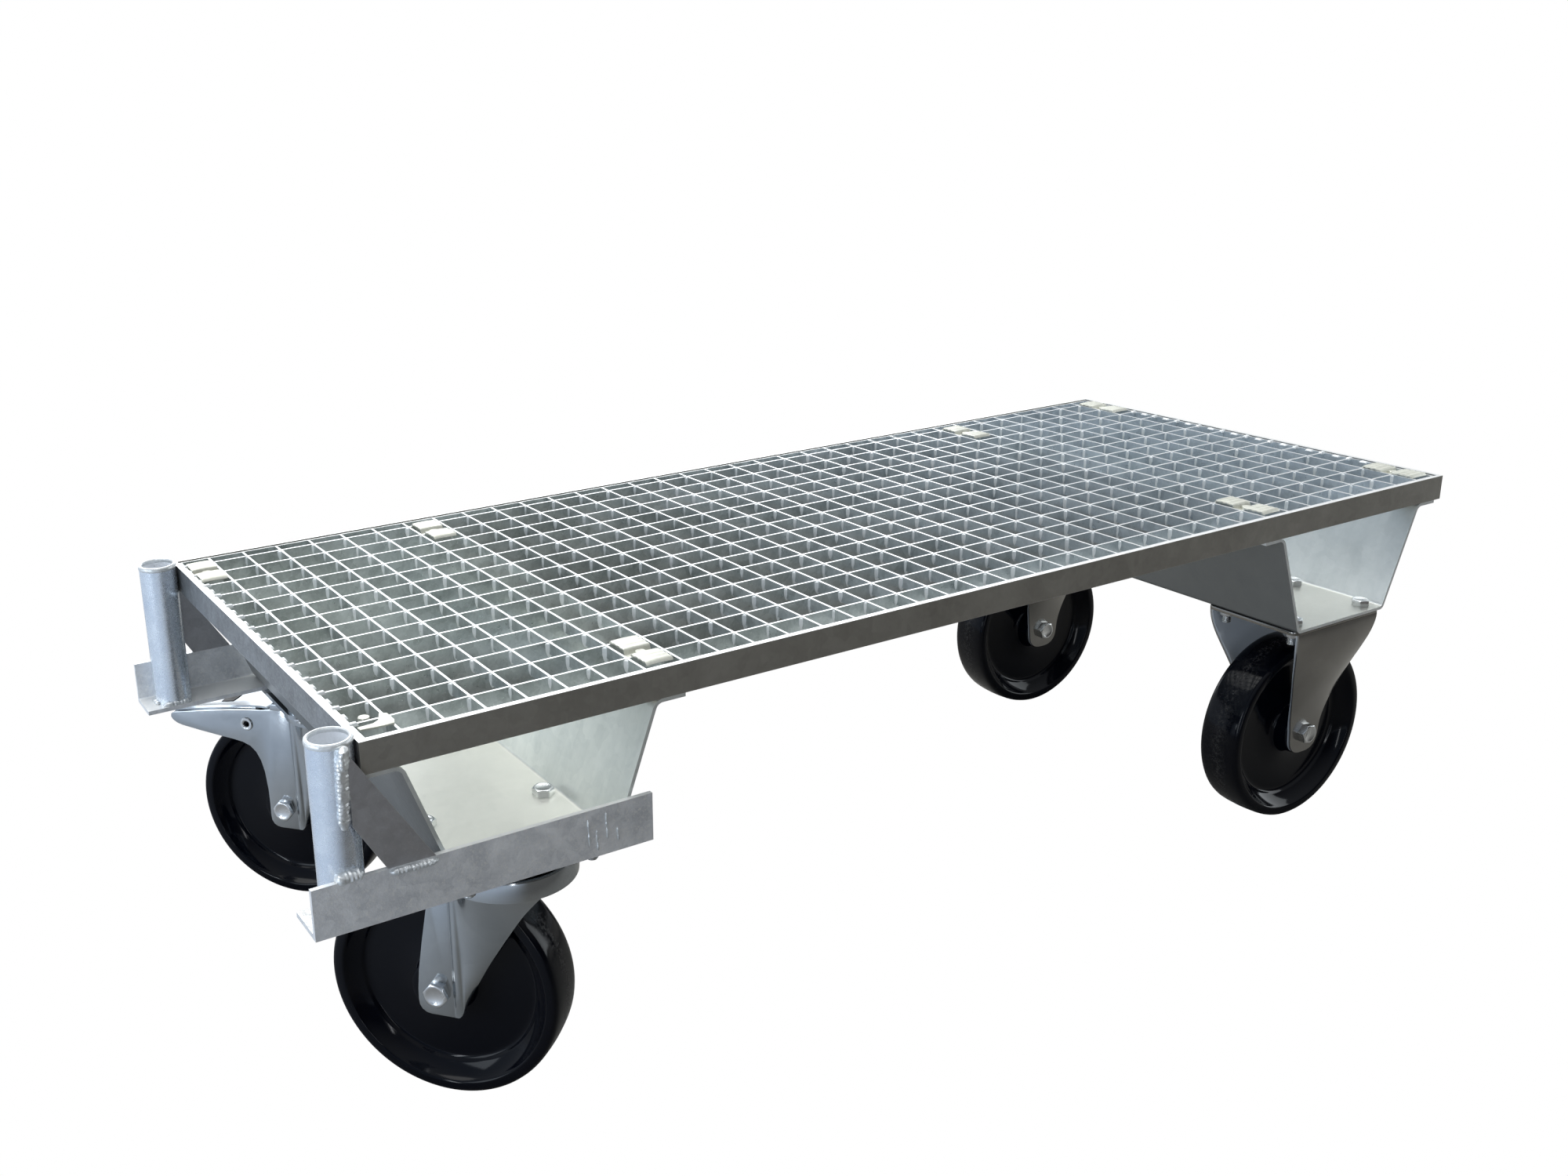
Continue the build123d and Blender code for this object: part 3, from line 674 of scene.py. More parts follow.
@dataclass(frozen=True)
class ZincFinish:
    """A zinc coated metal: its greys, gloss, crystals and wear.

    The blend from dark to light takes crystals, clouds and streaks. Then come, each over the
    last, a painted bluish light along the truck, painted shade on downward faces, specks, worn
    edges, a painted top light on upward faces and, on an inner wall, a pale matt colour that is
    painted light.
    """

    name: str
    dark: Colour
    light: Colour
    rough: tuple[float, float] = (0.28, 0.45)
    metal: float = 0.9
    spangle: float = 90.0
    relief: float = 0.08
    edge: Colour = (0.9, 0.9, 0.88)
    edge_reach: float = 0.0009
    edge_share: float = 0.6
    cloud: float = 14.0
    streak: Point = (1.0, 1.0, 1.0)
    # Painted top light: upward faces take this colour; where it is darker than the body it is painted
    # shade.
    top: Colour = (0.9, 0.9, 0.88)
    top_share: float = 0.0
    # Painted shade: downward faces take this colour.
    under_shade: Colour = (0.16, 0.17, 0.18)
    under_share: float = 0.0
    speck: float = 0.0
    # Painted bluish light, growing towards the far end of the truck.
    far_light_tint: Colour = (0.75, 0.82, 0.92)
    far_light_share: float = 0.0
    # Painted light on inner walls, found by the bore's radius and by an attribute: a pale matt colour
    # brightens them.
    bore_r: float = 0.0
    painted_light_attribute: str = ""
    inner_painted_light: Colour = (0.93, 0.96, 1.0)

    def inside(self, kit: "Kit", where: bpy.types.NodeSocket) -> bpy.types.NodeSocket:
        """Mask the inner walls, where a pale matt colour is painted light.

        They are either the bore of the upright tubes, a pair that stands either side of the
        middle, or the corners that a piece's own attribute marks.

        Args:
            kit: The material's nodes.
            where: Object coordinates.

        Returns:
            1 on an inner wall, 0 outside.
        """
        if self.painted_light_attribute:
            return kit.node("ShaderNodeAttribute", attribute_name=self.painted_light_attribute).outputs["Fac"]
        near, far = (sum(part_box("socket_tube_" + side.value), Vector()) / 2 for side in Side)
        x, y, _ = kit.node("ShaderNodeSeparateXYZ", Vector=where).outputs
        aside = kit.maths("ABSOLUTE", kit.maths("SUBTRACT", y, (near.y + far.y) / 2))
        off_x = kit.maths("SUBTRACT", x, near.x)
        off_y = kit.maths("SUBTRACT", aside, (far.y - near.y) / 2)
        reach = kit.maths("SQRT", kit.maths("ADD", kit.maths("MULTIPLY", off_x, off_x),
                                            kit.maths("MULTIPLY", off_y, off_y)))
        return kit.maths("LESS_THAN", reach, self.bore_r)

    def material(self, effects: Effects) -> bpy.types.Material:
        """Build the material.

        Args:
            effects: The shared node groups.

        Returns:
            The material.
        """
        made, kit, shader = principled(self.name)
        crystals = kit.node("ShaderNodeGroup", node_tree=effects.spangle, Scale=self.spangle)
        clouds = kit.node("ShaderNodeGroup", node_tree=effects.mottle, Scale=self.cloud)
        streaks = kit.noise(kit.stretched(self.streak), 40.0, 4.0)
        blend = kit.maths("MULTIPLY_ADD", crystals.outputs["Level"], 0.3,
                          kit.maths("MULTIPLY", clouds.outputs["Cloud"], 0.4))
        blend = kit.maths("MULTIPLY_ADD", streaks, 0.45, blend)
        body = kit.mix(kit.span(blend, 0.2, 0.9), self.dark, self.light)
        place = kit.node("ShaderNodeTexCoord")
        # Painted light: a bluish tint grows along the truck.
        if self.far_light_share:
            along = kit.node("ShaderNodeSeparateXYZ", Vector=place.outputs["Object"]).outputs[0]
            body = kit.mix(kit.span(along, -0.2, 0.5, 0.0, self.far_light_share), body, self.far_light_tint)
        facing = kit.node("ShaderNodeSeparateXYZ", Vector=place.outputs["Normal"]).outputs[2]
        # Painted shade on downward faces.
        if self.under_share:
            body = kit.mix(kit.span(facing, -0.05, -0.25, 0.0, self.under_share), body, self.under_shade)
        if self.speck:
            grit = kit.noise(place.outputs["Object"], 420.0, 4.0, 0.75)
            grains = kit.span(grit, 0.52, 0.66, 0.0, self.speck)
            body = kit.mix(grains, body, self.edge)
        worn = kit.node("ShaderNodeGroup", node_tree=effects.edges, Reach=self.edge_reach)
        body = kit.mix(kit.maths("MULTIPLY", worn.outputs["Mask"], self.edge_share), body, self.edge)
        # Painted top light on upward faces.
        if self.top_share:
            body = kit.mix(kit.span(facing, 0.6, 0.9, 0.0, self.top_share), body, self.top)
        shader.inputs["Metallic"].default_value = self.metal
        # Painted light: inner walls turn pale and matt.
        if self.bore_r or self.painted_light_attribute:
            inside = self.inside(kit, place.outputs["Object"])
            body = kit.mix(inside, body, self.inner_painted_light)
            kit.feed(shader.inputs["Metallic"], kit.span(inside, 0.0, 1.0, self.metal, 0.0))
        kit.feed(shader.inputs["Base Color"], body)
        gloss = kit.span(clouds.outputs["Grit"], 0.0, 1.0, *self.rough)
        kit.feed(shader.inputs["Roughness"], gloss)
        if self.relief:
            first = kit.bump(clouds.outputs["Grit"], self.relief, 0.0006)
            kit.feed(shader.inputs["Normal"],
                     kit.bump(crystals.outputs["Height"], self.relief, 0.0004, first))
        return made


@dataclass(frozen=True)
class WheelFinish:
    """Glossy black cast wheel with a scuffed, dusty tread."""

    name: str = "black wheel"
    # Black is the wheel's own colour; its faint blue is a painted blue reflection.
    black: Colour = (0.0010, 0.0018, 0.0048)
    scuff: Colour = (0.09, 0.088, 0.085)
    dust: float = 0.015
    shine: float = 0.18

    def material(self, effects: Effects) -> bpy.types.Material:
        """Build the material.

        Args:
            effects: The shared node groups.

        Returns:
            The material.
        """
        made, kit, shader = principled(self.name)
        where = kit.node("ShaderNodeTexCoord").outputs["Object"]
        dust = kit.node("ShaderNodeGroup", node_tree=effects.dust, Amount=self.dust)
        tread = kit.node("ShaderNodeAttribute", attribute_name="tread").outputs["Fac"]
        torn = kit.span(kit.noise(where, 260.0, 5.0, 0.75), 0.45, 0.72)
        worn = kit.maths("MULTIPLY", kit.maths("MULTIPLY", kit.maths("POWER", tread, 4.0), torn), 0.6)
        mask = kit.maths("MAXIMUM", worn, dust.outputs["Mask"])
        kit.feed(shader.inputs["Base Color"], kit.mix(mask, self.black, self.scuff))
        kit.feed(shader.inputs["Roughness"], kit.span(mask, 0.0, 0.4, 0.1, 0.5))
        shader.inputs["Specular IOR Level"].default_value = self.shine
        scratches = kit.noise(kit.stretched((1.0, 1.0, 4.0)), 300.0, 2.0)
        kit.feed(shader.inputs["Normal"], kit.bump(scratches, 0.03, 0.0003))
        return made


@dataclass(frozen=True)
class RubberFinish:
    """Plain dark rubber."""

    name: str = "brake rubber"
    dark: Colour = (0.02, 0.02, 0.02)
    light: Colour = (0.05, 0.05, 0.05)

    def material(self, effects: Effects) -> bpy.types.Material:
        """Build the material.

        Args:
            effects: The shared node groups.

        Returns:
            The material.
        """
        made, kit, shader = principled(self.name)
        patches = kit.node("ShaderNodeGroup", node_tree=effects.mottle, Scale=60.0)
        kit.feed(shader.inputs["Base Color"],
                 kit.mix(patches.outputs["Cloud"], self.dark, self.light))
        kit.feed(shader.inputs["Roughness"], kit.span(patches.outputs["Grit"], 0.0, 1.0, 0.6, 0.9))
        kit.feed(shader.inputs["Normal"], kit.bump(patches.outputs["Grit"], 0.3, 0.0005))
        return made


class Finishes:
    """Every finish of the truck, by the record's material slot."""

    def __init__(self) -> None:
        """Make the shared effects and each slot's material."""
        effects = Effects()
        # Painted top light and painted under shade for both channel sheets.
        sheet = {"rough": (0.3, 0.42), "spangle": 60.0, "relief": 0.04, "streak": (0.3, 2.5, 0.3),
                 "top_share": 0.75, "under_share": 0.85}
        # In the finishes below, the top share paints light on upward faces, the under share paints shade
        # on downward faces and the far share paints a bluish light along the grating.
        wanted = {
            "galvanised_steel": ZincFinish(
                "galvanised grating", (0.34, 0.38, 0.37), (0.80, 0.84, 0.84), rough=(0.25, 0.42),
                metal=0.82, spangle=120.0, top_share=0.95, far_light_share=0.45, speck=0.25),
            "galvanised_sheet": ZincFinish(
                "galvanised sheet", (0.69, 0.73, 0.72), (0.93, 0.955, 0.93), metal=0.68,
                top=(0.97, 0.96, 0.87), **sheet),
            # A lit and shaded copy of the sheet for the right channel: its lighter walls are painted
            # light, and its dark top colour paints shade on the bottom.
            "right_sheet": ZincFinish(
                "right channel sheet", (0.74, 0.78, 0.78), (0.95, 0.975, 0.97), metal=0.62,
                top=(0.53, 0.53, 0.475), **sheet),
            "hot_dip_steel": ZincFinish(
                "hot dip steel", (0.56, 0.58, 0.61), (0.97, 0.985, 1.0), rough=(0.3, 0.5),
                metal=0.45, spangle=160.0, relief=0.4, cloud=26.0, top_share=0.95, speck=0.75),
            "zinc_plated_steel": ZincFinish(
                "zinc plated pressing", (0.40, 0.43, 0.455), (0.50, 0.53, 0.555), rough=(0.13, 0.2),
                metal=0.98, spangle=40.0, relief=0.0, edge_share=0.2),
            # A shaded copy of the pressing: its darker, browner colour is painted shade, and its inner
            # walls are painted lighter.
            "fixed_fork": ZincFinish(
                "fixed fork zinc", (0.27, 0.264, 0.25), (0.33, 0.323, 0.31), edge_share=0.1,
                rough=(0.13, 0.19), metal=0.98, spangle=40.0, relief=0.0, painted_light_attribute="inner",
                inner_painted_light=(0.62, 0.68, 0.76)),
            "bright_steel": ZincFinish(
                "bright fastener", (0.6, 0.62, 0.63), (0.8, 0.81, 0.82), rough=(0.14, 0.3),
                metal=1.0, spangle=500.0, relief=0.05),
            "bearing_steel": ZincFinish(
                "bearing steel", (0.4, 0.4, 0.4), (0.55, 0.55, 0.55), rough=(0.2, 0.4), metal=1.0,
                spangle=500.0, relief=0.05),
            "pressed_zinc": ZincFinish(
                "clip zinc", (0.50, 0.50, 0.43), (0.80, 0.80, 0.71), rough=(0.35, 0.5), metal=0.45,
                spangle=200.0, relief=0.1),
            "rail": ZincFinish(
                "rail zinc", (0.31, 0.295, 0.265), (0.45, 0.435, 0.395), rough=(0.35, 0.5),
                metal=0.75, relief=0.12, cloud=9.0, streak=(1.0, 1.0, 0.2), top_share=0.95,
                edge_share=0.45),
            "end_rail": ZincFinish(
                "end rail zinc", (0.17, 0.175, 0.175), (0.33, 0.345, 0.36), rough=(0.3, 0.5),
                metal=0.85, spangle=110.0, relief=0.15, cloud=12.0, streak=(1.0, 2.0, 0.15),
                top_share=0.95, speck=0.2),
            # The tube's blue grey is painted blue light from the left; its bore is painted lighter as
            # well.
            "tube": ZincFinish(
                "tube zinc", (0.68, 0.75, 0.85), (0.88, 0.94, 1.0), rough=(0.2, 0.34), metal=0.8,
                spangle=60.0, cloud=30.0, streak=(1.0, 1.0, 0.3), top_share=0.5, speck=0.12,
                bore_r=0.0152),
            "gusset": ZincFinish(
                "gusset zinc", (0.40, 0.40, 0.41), (0.56, 0.56, 0.58), rough=(0.35, 0.5),
                metal=0.85, relief=0.12, top_share=0.6, speck=0.12),
            "web": ZincFinish(
                "zinc web", (0.80, 0.84, 0.84), (0.97, 0.98, 0.98), rough=(0.25, 0.4), metal=0.1,
                spangle=300.0, relief=0.1),
            "weld": ZincFinish(
                "weld zinc", (0.55, 0.58, 0.60), (0.86, 0.88, 0.88), rough=(0.3, 0.45), metal=0.7,
                spangle=300.0, relief=0.3),
            "black_wheel": WheelFinish(),
            "brake_rubber": RubberFinish(),
        }
        self.by_slot = {key: finish.material(effects) for key, finish in wanted.items()}

    def dress(self, piece: bpy.types.Object, slot: str, finish: str = "") -> bpy.types.Object:
        """Give a piece its finish.

        Args:
            piece: The piece.
            slot: Its material slot in the record.
            finish: A finish of its own, in place of the slot's.

        Returns:
            The same piece.
        """
        piece.data.materials.clear()
        piece.data.materials.append(self.by_slot[finish or slot])
        return piece

    def fit(self, piece: bpy.types.Object, slot: str, body: str, *nodes: str,
            finish: str = "") -> None:
        """Dress a new piece, ride it on its body and hide what it stands for.

        Args:
            piece: The piece.
            slot: Its material slot in the record.
            body: The body it moves with.
            *nodes: The CAD nodes it replaces.
            finish: A finish of its own, in place of the slot's.
        """
        self.dress(piece, slot, finish)
        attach(piece, body)
        if nodes:
            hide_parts(*nodes)
        LOG.info("%s with %d faces on %s", piece.name, len(piece.data.polygons), body)


# ---------------------------------------------------------------- studio
@dataclass
class Studio:
    """Camera, floor and lights round the truck."""

    deck: Deck
    focal: float = 35.10
    shift: tuple[float, float] = (0.1243, -0.0188)
    eye: Point = (-317.0, -917.7, 799.9)
    right: Point = (0.87196, -0.48845, -0.03325)
    down: Point = (-0.17698, -0.25116, -0.95163)
    ahead: Point = (0.45647, 0.83567, -0.30545)
    floor_grey: Colour = (0.24, 0.23, 0.21)
    # Painted shade in front and painted bluish light to the left, on the floor as seen in reflections.
    floor_front_shade: Colour = (0.075, 0.07, 0.063)
    floor_left: Colour = (0.36, 0.40, 0.46)
    floor_white: float = 1.0
    room_dark: Colour = (0.055, 0.052, 0.048)
    room_light: Colour = (0.86, 0.90, 0.95)
    room_left: Colour = (0.42, 0.52, 0.66)
    sun: float = 2.3

    def build(self) -> None:
        """Set up everything that isn't the truck."""
        self.camera()
        self.floor()
        self.world()
        self.lights()
        bpy.context.scene.view_settings.view_transform = "Standard"
        LOG.info("studio ready")

    def camera(self) -> None:
        """A level camera off the near left corner, shifted to frame the truck."""
        data = bpy.data.cameras.new("camera")
        data.sensor_width = 36.0
        data.lens = self.focal
        data.shift_x, data.shift_y = self.shift
        data.clip_start, data.clip_end = 0.05, 60.0
        camera = bpy.data.objects.new("camera", data)
        bpy.context.scene.collection.objects.link(camera)
        turn = Matrix((self.right, [-v for v in self.down], [-v for v in self.ahead])).transposed()
        camera.matrix_world = Matrix.Translation(self.deck.at(*self.eye)) @ turn.to_4x4()
        bpy.context.scene.camera = camera

    def floor(self) -> None:
        """A plain pale floor to the eye. In reflections it is dim, with painted shade in front and a
        painted bluish light on the left.
        """
        Bench.clear()
        bpy.ops.mesh.primitive_plane_add(size=60.0)
        floor = Bench.named("floor")
        made, kit, shader = principled("pale floor")
        out = made.node_tree.nodes["Material Output"]
        spot = kit.node("ShaderNodeSeparateXYZ", Vector=kit.node("ShaderNodeTexCoord").outputs["Object"])
        # Painted shade in front of the truck and painted bluish light to its left, seen only in
        # reflections.
        ahead = kit.span(spot.outputs[1], -0.30, -0.75)
        side = kit.span(spot.outputs[0], -0.45, -1.0)
        shade = kit.mix(ahead, self.floor_grey, self.floor_front_shade)
        kit.feed(shader.inputs["Base Color"], kit.mix(side, shade, self.floor_left))
        shader.inputs["Roughness"].default_value = 0.8
        pale = kit.node("ShaderNodeEmission", Color=(1.0, 1.0, 1.0), Strength=1.0)
        seen = kit.node("ShaderNodeLightPath").outputs["Is Camera Ray"]
        share = kit.maths("MULTIPLY", seen, self.floor_white)
        both = kit.node("ShaderNodeMixShader", Fac=share, in_1=shader.outputs[0], in_2=pale.outputs[0])
        kit.feed(out.inputs["Surface"], both.outputs[0])
        floor.data.materials.append(made)

    def world(self) -> None:
        """White to the eye, and a soft room to the metal: bright above and behind, dark in front."""
        world = bpy.data.worlds.new("room")
        bpy.context.scene.world = world
        world.use_nodes = True
        kit = Kit(world.node_tree)
        back = world.node_tree.nodes["Background"]
        out = world.node_tree.nodes["World Output"]
        way = kit.node("ShaderNodeTexCoord").outputs["Generated"]
        parts = kit.node("ShaderNodeSeparateXYZ", Vector=way)
        behind = kit.span(parts.outputs["Y"], -0.35, 0.75)
        above = kit.span(parts.outputs["Z"], 0.25, 0.95)
        left = kit.span(parts.outputs["X"], -0.35, -0.95)
        glow = kit.maths("MAXIMUM", kit.maths("MULTIPLY", above, 0.75), behind)
        room = kit.mix(glow, self.room_dark, self.room_light)
        room = kit.mix(kit.maths("MULTIPLY", left, 0.7), room, self.room_left)
        kit.feed(back.inputs["Color"], room)
        back.inputs["Strength"].default_value = 1.0
        white = kit.node("ShaderNodeBackground", Color=(1.0, 1.0, 1.0), Strength=1.0)
        seen = kit.node("ShaderNodeLightPath").outputs["Is Camera Ray"]
        both = kit.node("ShaderNodeMixShader", Fac=seen, in_1=back.outputs[0], in_2=white.outputs[0])
        kit.feed(out.inputs["Surface"], both.outputs[0])

    def sky(self) -> None:
        """A very wide soft sun overhead, leaning to the back."""
        data = bpy.data.lights.new("wide sun", "SUN")
        data.angle = math.radians(65.0)
        data.energy = self.sun
        data.color = (1.0, 1.0, 0.98)
        lamp = bpy.data.objects.new("wide sun", data)
        bpy.context.scene.collection.objects.link(lamp)
        lamp.rotation_euler = Vector((0.1, -0.45, -1.0)).to_track_quat("-Z", "Y").to_euler()

    def lamp(self, name: str, place: Point, aim: Point, size: tuple[float, float], power: float,
             colour: Colour = (1.0, 1.0, 1.0)) -> None:
        """A rectangular soft light.

        Args:
            name: Name of the light.
            place: Where it hangs, in deck millimetres.
            aim: The point it looks at.
            size: Its sides in metres.
            power: Watts.
            colour: Its tint.
        """
        data = bpy.data.lights.new(name, "AREA")
        data.shape = "RECTANGLE"
        data.size, data.size_y = size
        data.energy = power
        data.color = colour
        lamp = bpy.data.objects.new(name, data)
        bpy.context.scene.collection.objects.link(lamp)
        where = self.deck.at(*place)
        lamp.location = where
        lamp.rotation_euler = (self.deck.at(*aim) - where).to_track_quat("-Z", "Y").to_euler()

    def lights(self) -> None:
        """The wide sun, and softboxes that give the metal its highlights."""
        middle = (600.0, 245.0, 250.0)
        self.sky()
        self.lamp("back", (1500.0, 3200.0, 1500.0), middle, (3.5, 1.8), 35.0, (0.90, 0.95, 1.0))
        self.lamp("left", (-2600.0, 300.0, 900.0), middle, (1.2, 1.4), 16.0, (0.84, 0.92, 1.0))
        self.lamp("left strip", (-2300.0, -700.0, 620.0), middle, (0.14, 1.7), 10.0, (0.88, 0.94, 1.0))
        self.lamp("front strip", (-900.0, -2600.0, 500.0), middle, (0.10, 1.5), 5.0, (0.95, 0.97, 1.0))
        self.lamp("right", (3400.0, -500.0, 900.0), middle, (1.0, 1.6), 14.0, (0.90, 0.96, 1.0))


# ---------------------------------------------------------------- casters
@dataclass
class Wheel:
    """Black cast wheel: crowned tread, flat side bands, a sloping rim, a dished web and a hub."""

    tread_r: float = 100.0
    half_width: float = 23.0
    hub_half: float = 26.0
    bore_r: float = 15.0
    hub_r: float = 25.0

    def profile(self) -> list[tuple[float, float]]:
        """Half section from the hub's end to the middle of the tread, then its mirror image.

        Returns:
            Radius and height of each ring.
        """
        half, hub, r = self.half_width, self.hub_half, self.tread_r
        side = [(self.bore_r, hub - 1.2), (self.bore_r + 1.2, hub), (self.hub_r - 1.5, hub),
                (self.hub_r - 0.4, hub - 0.5), (self.hub_r, hub - 1.6), (self.hub_r + 0.6, 12.5),
                (self.hub_r + 2.2, 10.0), (self.hub_r + 5.0, 8.8), (50.0, 7.6), (70.0, 7.0),
                (73.2, 7.2), (75.2, 7.8), (76.4, 8.8), (77.2, 10.2), (78.4, 11.2), (80.4, 12.6),
                (84.2, 16.4), (87.4, 20.2), (88.3, 21.8), (89.2, 22.7), (90.4, half), (95.0, half),
                (96.6, half - 0.5), (98.0, half - 2.0), (98.8, half - 4.4), (99.3, half - 8.0),
                (r - 0.35, 10.0), (r - 0.1, 5.0), (r, 0.0)]
        return side + [(radius, -level) for radius, level in reversed(side[:-1])]

    def build(self, name: str) -> bpy.types.Object:
        """Turn the wheel about Z at the origin and mark how near each corner is to the tread.

        Args:
            name: Name of the piece.

        Returns:
            The wheel.
        """
        wheel = Bench.lathe(name, self.profile(), segments=128)
        Bench.mark(wheel, "tread", self.tread_level)
        return wheel

    def tread_level(self, corner: bpy.types.MeshVertex) -> float:
        """How far a corner is on the tread: 1 in its middle, 0 on the wheel's sides.

        Args:
            corner: A corner of the wheel.

        Returns:
            The level.
        """
        reach = math.hypot(corner.co.x, corner.co.y) / MM
        middle = 1.0 - abs(corner.co.z) / MM / self.half_width
        return max(0.0, min(1.0, (reach - self.tread_r + 2.5) / 1.5)) * (0.25 + 0.75 * middle)


@dataclass
class AxleSet:
    """Hexagon head, washers, nut and thread end of one axle, about Z at the fork's middle."""

    half: float = 29.7
    flats: float = 19.0
    head: float = 7.5
    thread_r: float = 5.7
    shank_r: float = 6.0
    shank_past: float = 10.0    # the shank and the thread end stand past the leg by these
    thread_past: float = 17.6
    washer: float = 2.0
    slope: float = 1.9          # how fast the turned corners of a hexagon draw in

    def hexagon(self, name: str, flats: float, height: float, crown: float = 0.4) -> bpy.types.Object:
        """A six sided block on Z = 0 with its upper corners turned off.

        Args:
            name: Name of the piece.
            flats: Distance across flats.
            height: Its height.
            crown: How far the turned corners come down.

        Returns:
            The block.
        """
        Bench.clear()
        radius = flats / math.sqrt(3.0)
        bpy.ops.mesh.primitive_cylinder_add(vertices=6, radius=radius * MM, depth=height * MM,
                                            location=(0, 0, height * MM / 2))
        bpy.ops.object.transform_apply(location=True)
        block = Bench.named(name)
        Bench.clear()
        bpy.ops.mesh.primitive_cone_add(vertices=72, radius1=(flats / 2 + height * self.slope) * MM,
                                        radius2=(flats / 2 - crown * self.slope) * MM,
                                        depth=(height + crown) * MM,
                                        location=(0, 0, height * MM / 2))
        cutter = Bench.named(name + "_turning")
        Bench.apply(block, "BOOLEAN", operation="INTERSECT", object=cutter, solver="EXACT")
        bpy.data.objects.remove(cutter)
        Bench.soften(block, 0.25, math.radians(35))
        return Bench.tidy(block, 30.0)

    def dished(self, name: str, flats: float, height: float, seat: float, rim: float,
               lip: float, depth: float) -> bpy.types.Object:
        """A bolt's head with a dish in its top.

        Args:
            name: Name of the piece.
            flats: Distance across flats.
            height: Its height.
            seat: The level it stands on.
            rim: How far in the dish starts.
            lip: Width of its slope.
            depth: How deep it is.

        Returns:
            The head.
        """
        head = self.hexagon(name, flats, height)
        with Bench.edit(head, "FACE"):
            Bench.pick_top(head)
            bpy.ops.mesh.inset(thickness=rim * MM)
            bpy.ops.mesh.inset(thickness=lip * MM, depth=-depth * MM)
        return Bench.put(head, Matrix.Translation((0, 0, seat * MM)))

    def head_piece(self, name: str) -> bpy.types.Object:
        """The bolt: its dished head on the leg, the shank and the thread end.

        Args:
            name: Name of the piece.

        Returns:
            The bolt.
        """
        low = -self.half - self.shank_past
        head = self.dished(name, self.flats, self.head, self.half, 1.6, 0.5, 0.4)
        shank = Bench.lathe(name + "_shank", [(self.shank_r, self.half + 1.0), (self.shank_r, low)],
                            32, True)
        thread = self.thread(name + "_thread", low, -self.half - self.thread_past)
        return Bench.join([head, shank, thread], name)

    def nut_piece(self, name: str) -> bpy.types.Object:
        """Nut and washer, below Z = -half.

        Args:
            name: Name of the piece.

        Returns:
            The nut and its washer.
        """
        nut = self.hexagon(name, self.flats, 10.0)
        turn = Matrix.Rotation(math.pi, 4, "X")
        Bench.put(nut, turn @ Matrix.Translation((0, 0, (self.half + self.washer) * MM)))
        leg, low = -self.half, -self.half - self.washer
        washer = Bench.lathe(name + "_washer", [(6.2, leg), (6.2, low), (11.6, low), (12.0, low + 0.3),
                                                (12.0, leg - 0.1), (11.8, leg)], 48)
        return Bench.join([nut, washer], name)

    def thread(self, name: str, top: float, end: float, pitch: float = 1.75) -> bpy.types.Object:
        """A thread end turned as ridges, chamfered at its tip.

        Args:
            name: Name of the piece.
            top: The level where it starts.
            end: The level of its tip.
            pitch: Distance between ridges.

        Returns:
            The thread.
        """
        core = self.thread_r - 0.7
        rings = [(core, top + 1.0), (core, top)]
        level = top
        while level - pitch > end + 0.8:
            rings += [(self.thread_r, level - pitch * 0.45), (self.thread_r, level - pitch * 0.6),
                      (core, level - pitch)]
            level -= pitch
        rings += [(core + 0.3, level - 0.2), (core - 0.5, end)]
        return Bench.lathe(name, rings, 32, True)


@dataclass
class PlateBolts:
    """The sixteen bolts that hold the caster plates, their heads inside the channels."""

    pitch: tuple[float, float] = (52.5, 40.0)
    seat: float = 237.0
    low: float = 215.0
    flats: float = 16.0
    height: float = 6.4
    thread_r: float = 5.0
    thread_pitch: float = 1.5

    def build(self, name: str, places: Sequence[Matrix]) -> bpy.types.Object:
        """Make one bolt and copy it to every hole.

        Args:
            name: Name of the piece.
            places: Matrix of each bolt's axis at floor level.

        Returns:
            All bolts in one piece.
        """
        shop = AxleSet(thread_r=self.thread_r)
        head = shop.dished(name, self.flats, self.height, self.seat, 1.4, 0.4, 0.35)
        shank = shop.thread(name + "_shank", self.seat, self.low, self.thread_pitch)
        bolt = Bench.join([head, shank], name)
        return Bench.copies(bolt, places, name)


@dataclass
class LegSheet:
    """Left leg of a fork as rows of points. Local X is the way the caster trails, Y its left."""

    inner: float = 26.2
    thickness: float = 3.5

    @property
    def outer(self) -> float:
        """Distance of the leg's outer face from the wheel's plane."""
        return self.inner + self.thickness

    @staticmethod
    def pair(left: bpy.types.Object) -> bpy.types.Object:
        """Mirror a left side, so that both are one piece."""
        Bench.apply(left, "MIRROR", use_axis=(False, True, False), use_mirror_merge=False)
        return left

    @staticmethod
    def drill(leg: bpy.types.Object, x: float, z: float, radius: float) -> None:
        """Cut a round hole across a sheet.

        Args:
            leg: The sheet.
            x: Where the hole is along the caster.
            z: Its height.
            radius: Its radius.
        """
        Bench.clear()
        bpy.ops.mesh.primitive_cylinder_add(vertices=40, radius=radius * MM, depth=0.2,
                                            location=(x * MM, 0, z * MM), rotation=(math.pi / 2, 0, 0))
        cutter = Bench.named("drill")
        Bench.apply(leg, "BOOLEAN", operation="DIFFERENCE", object=cutter, solver="EXACT")
        bpy.data.objects.remove(cutter)


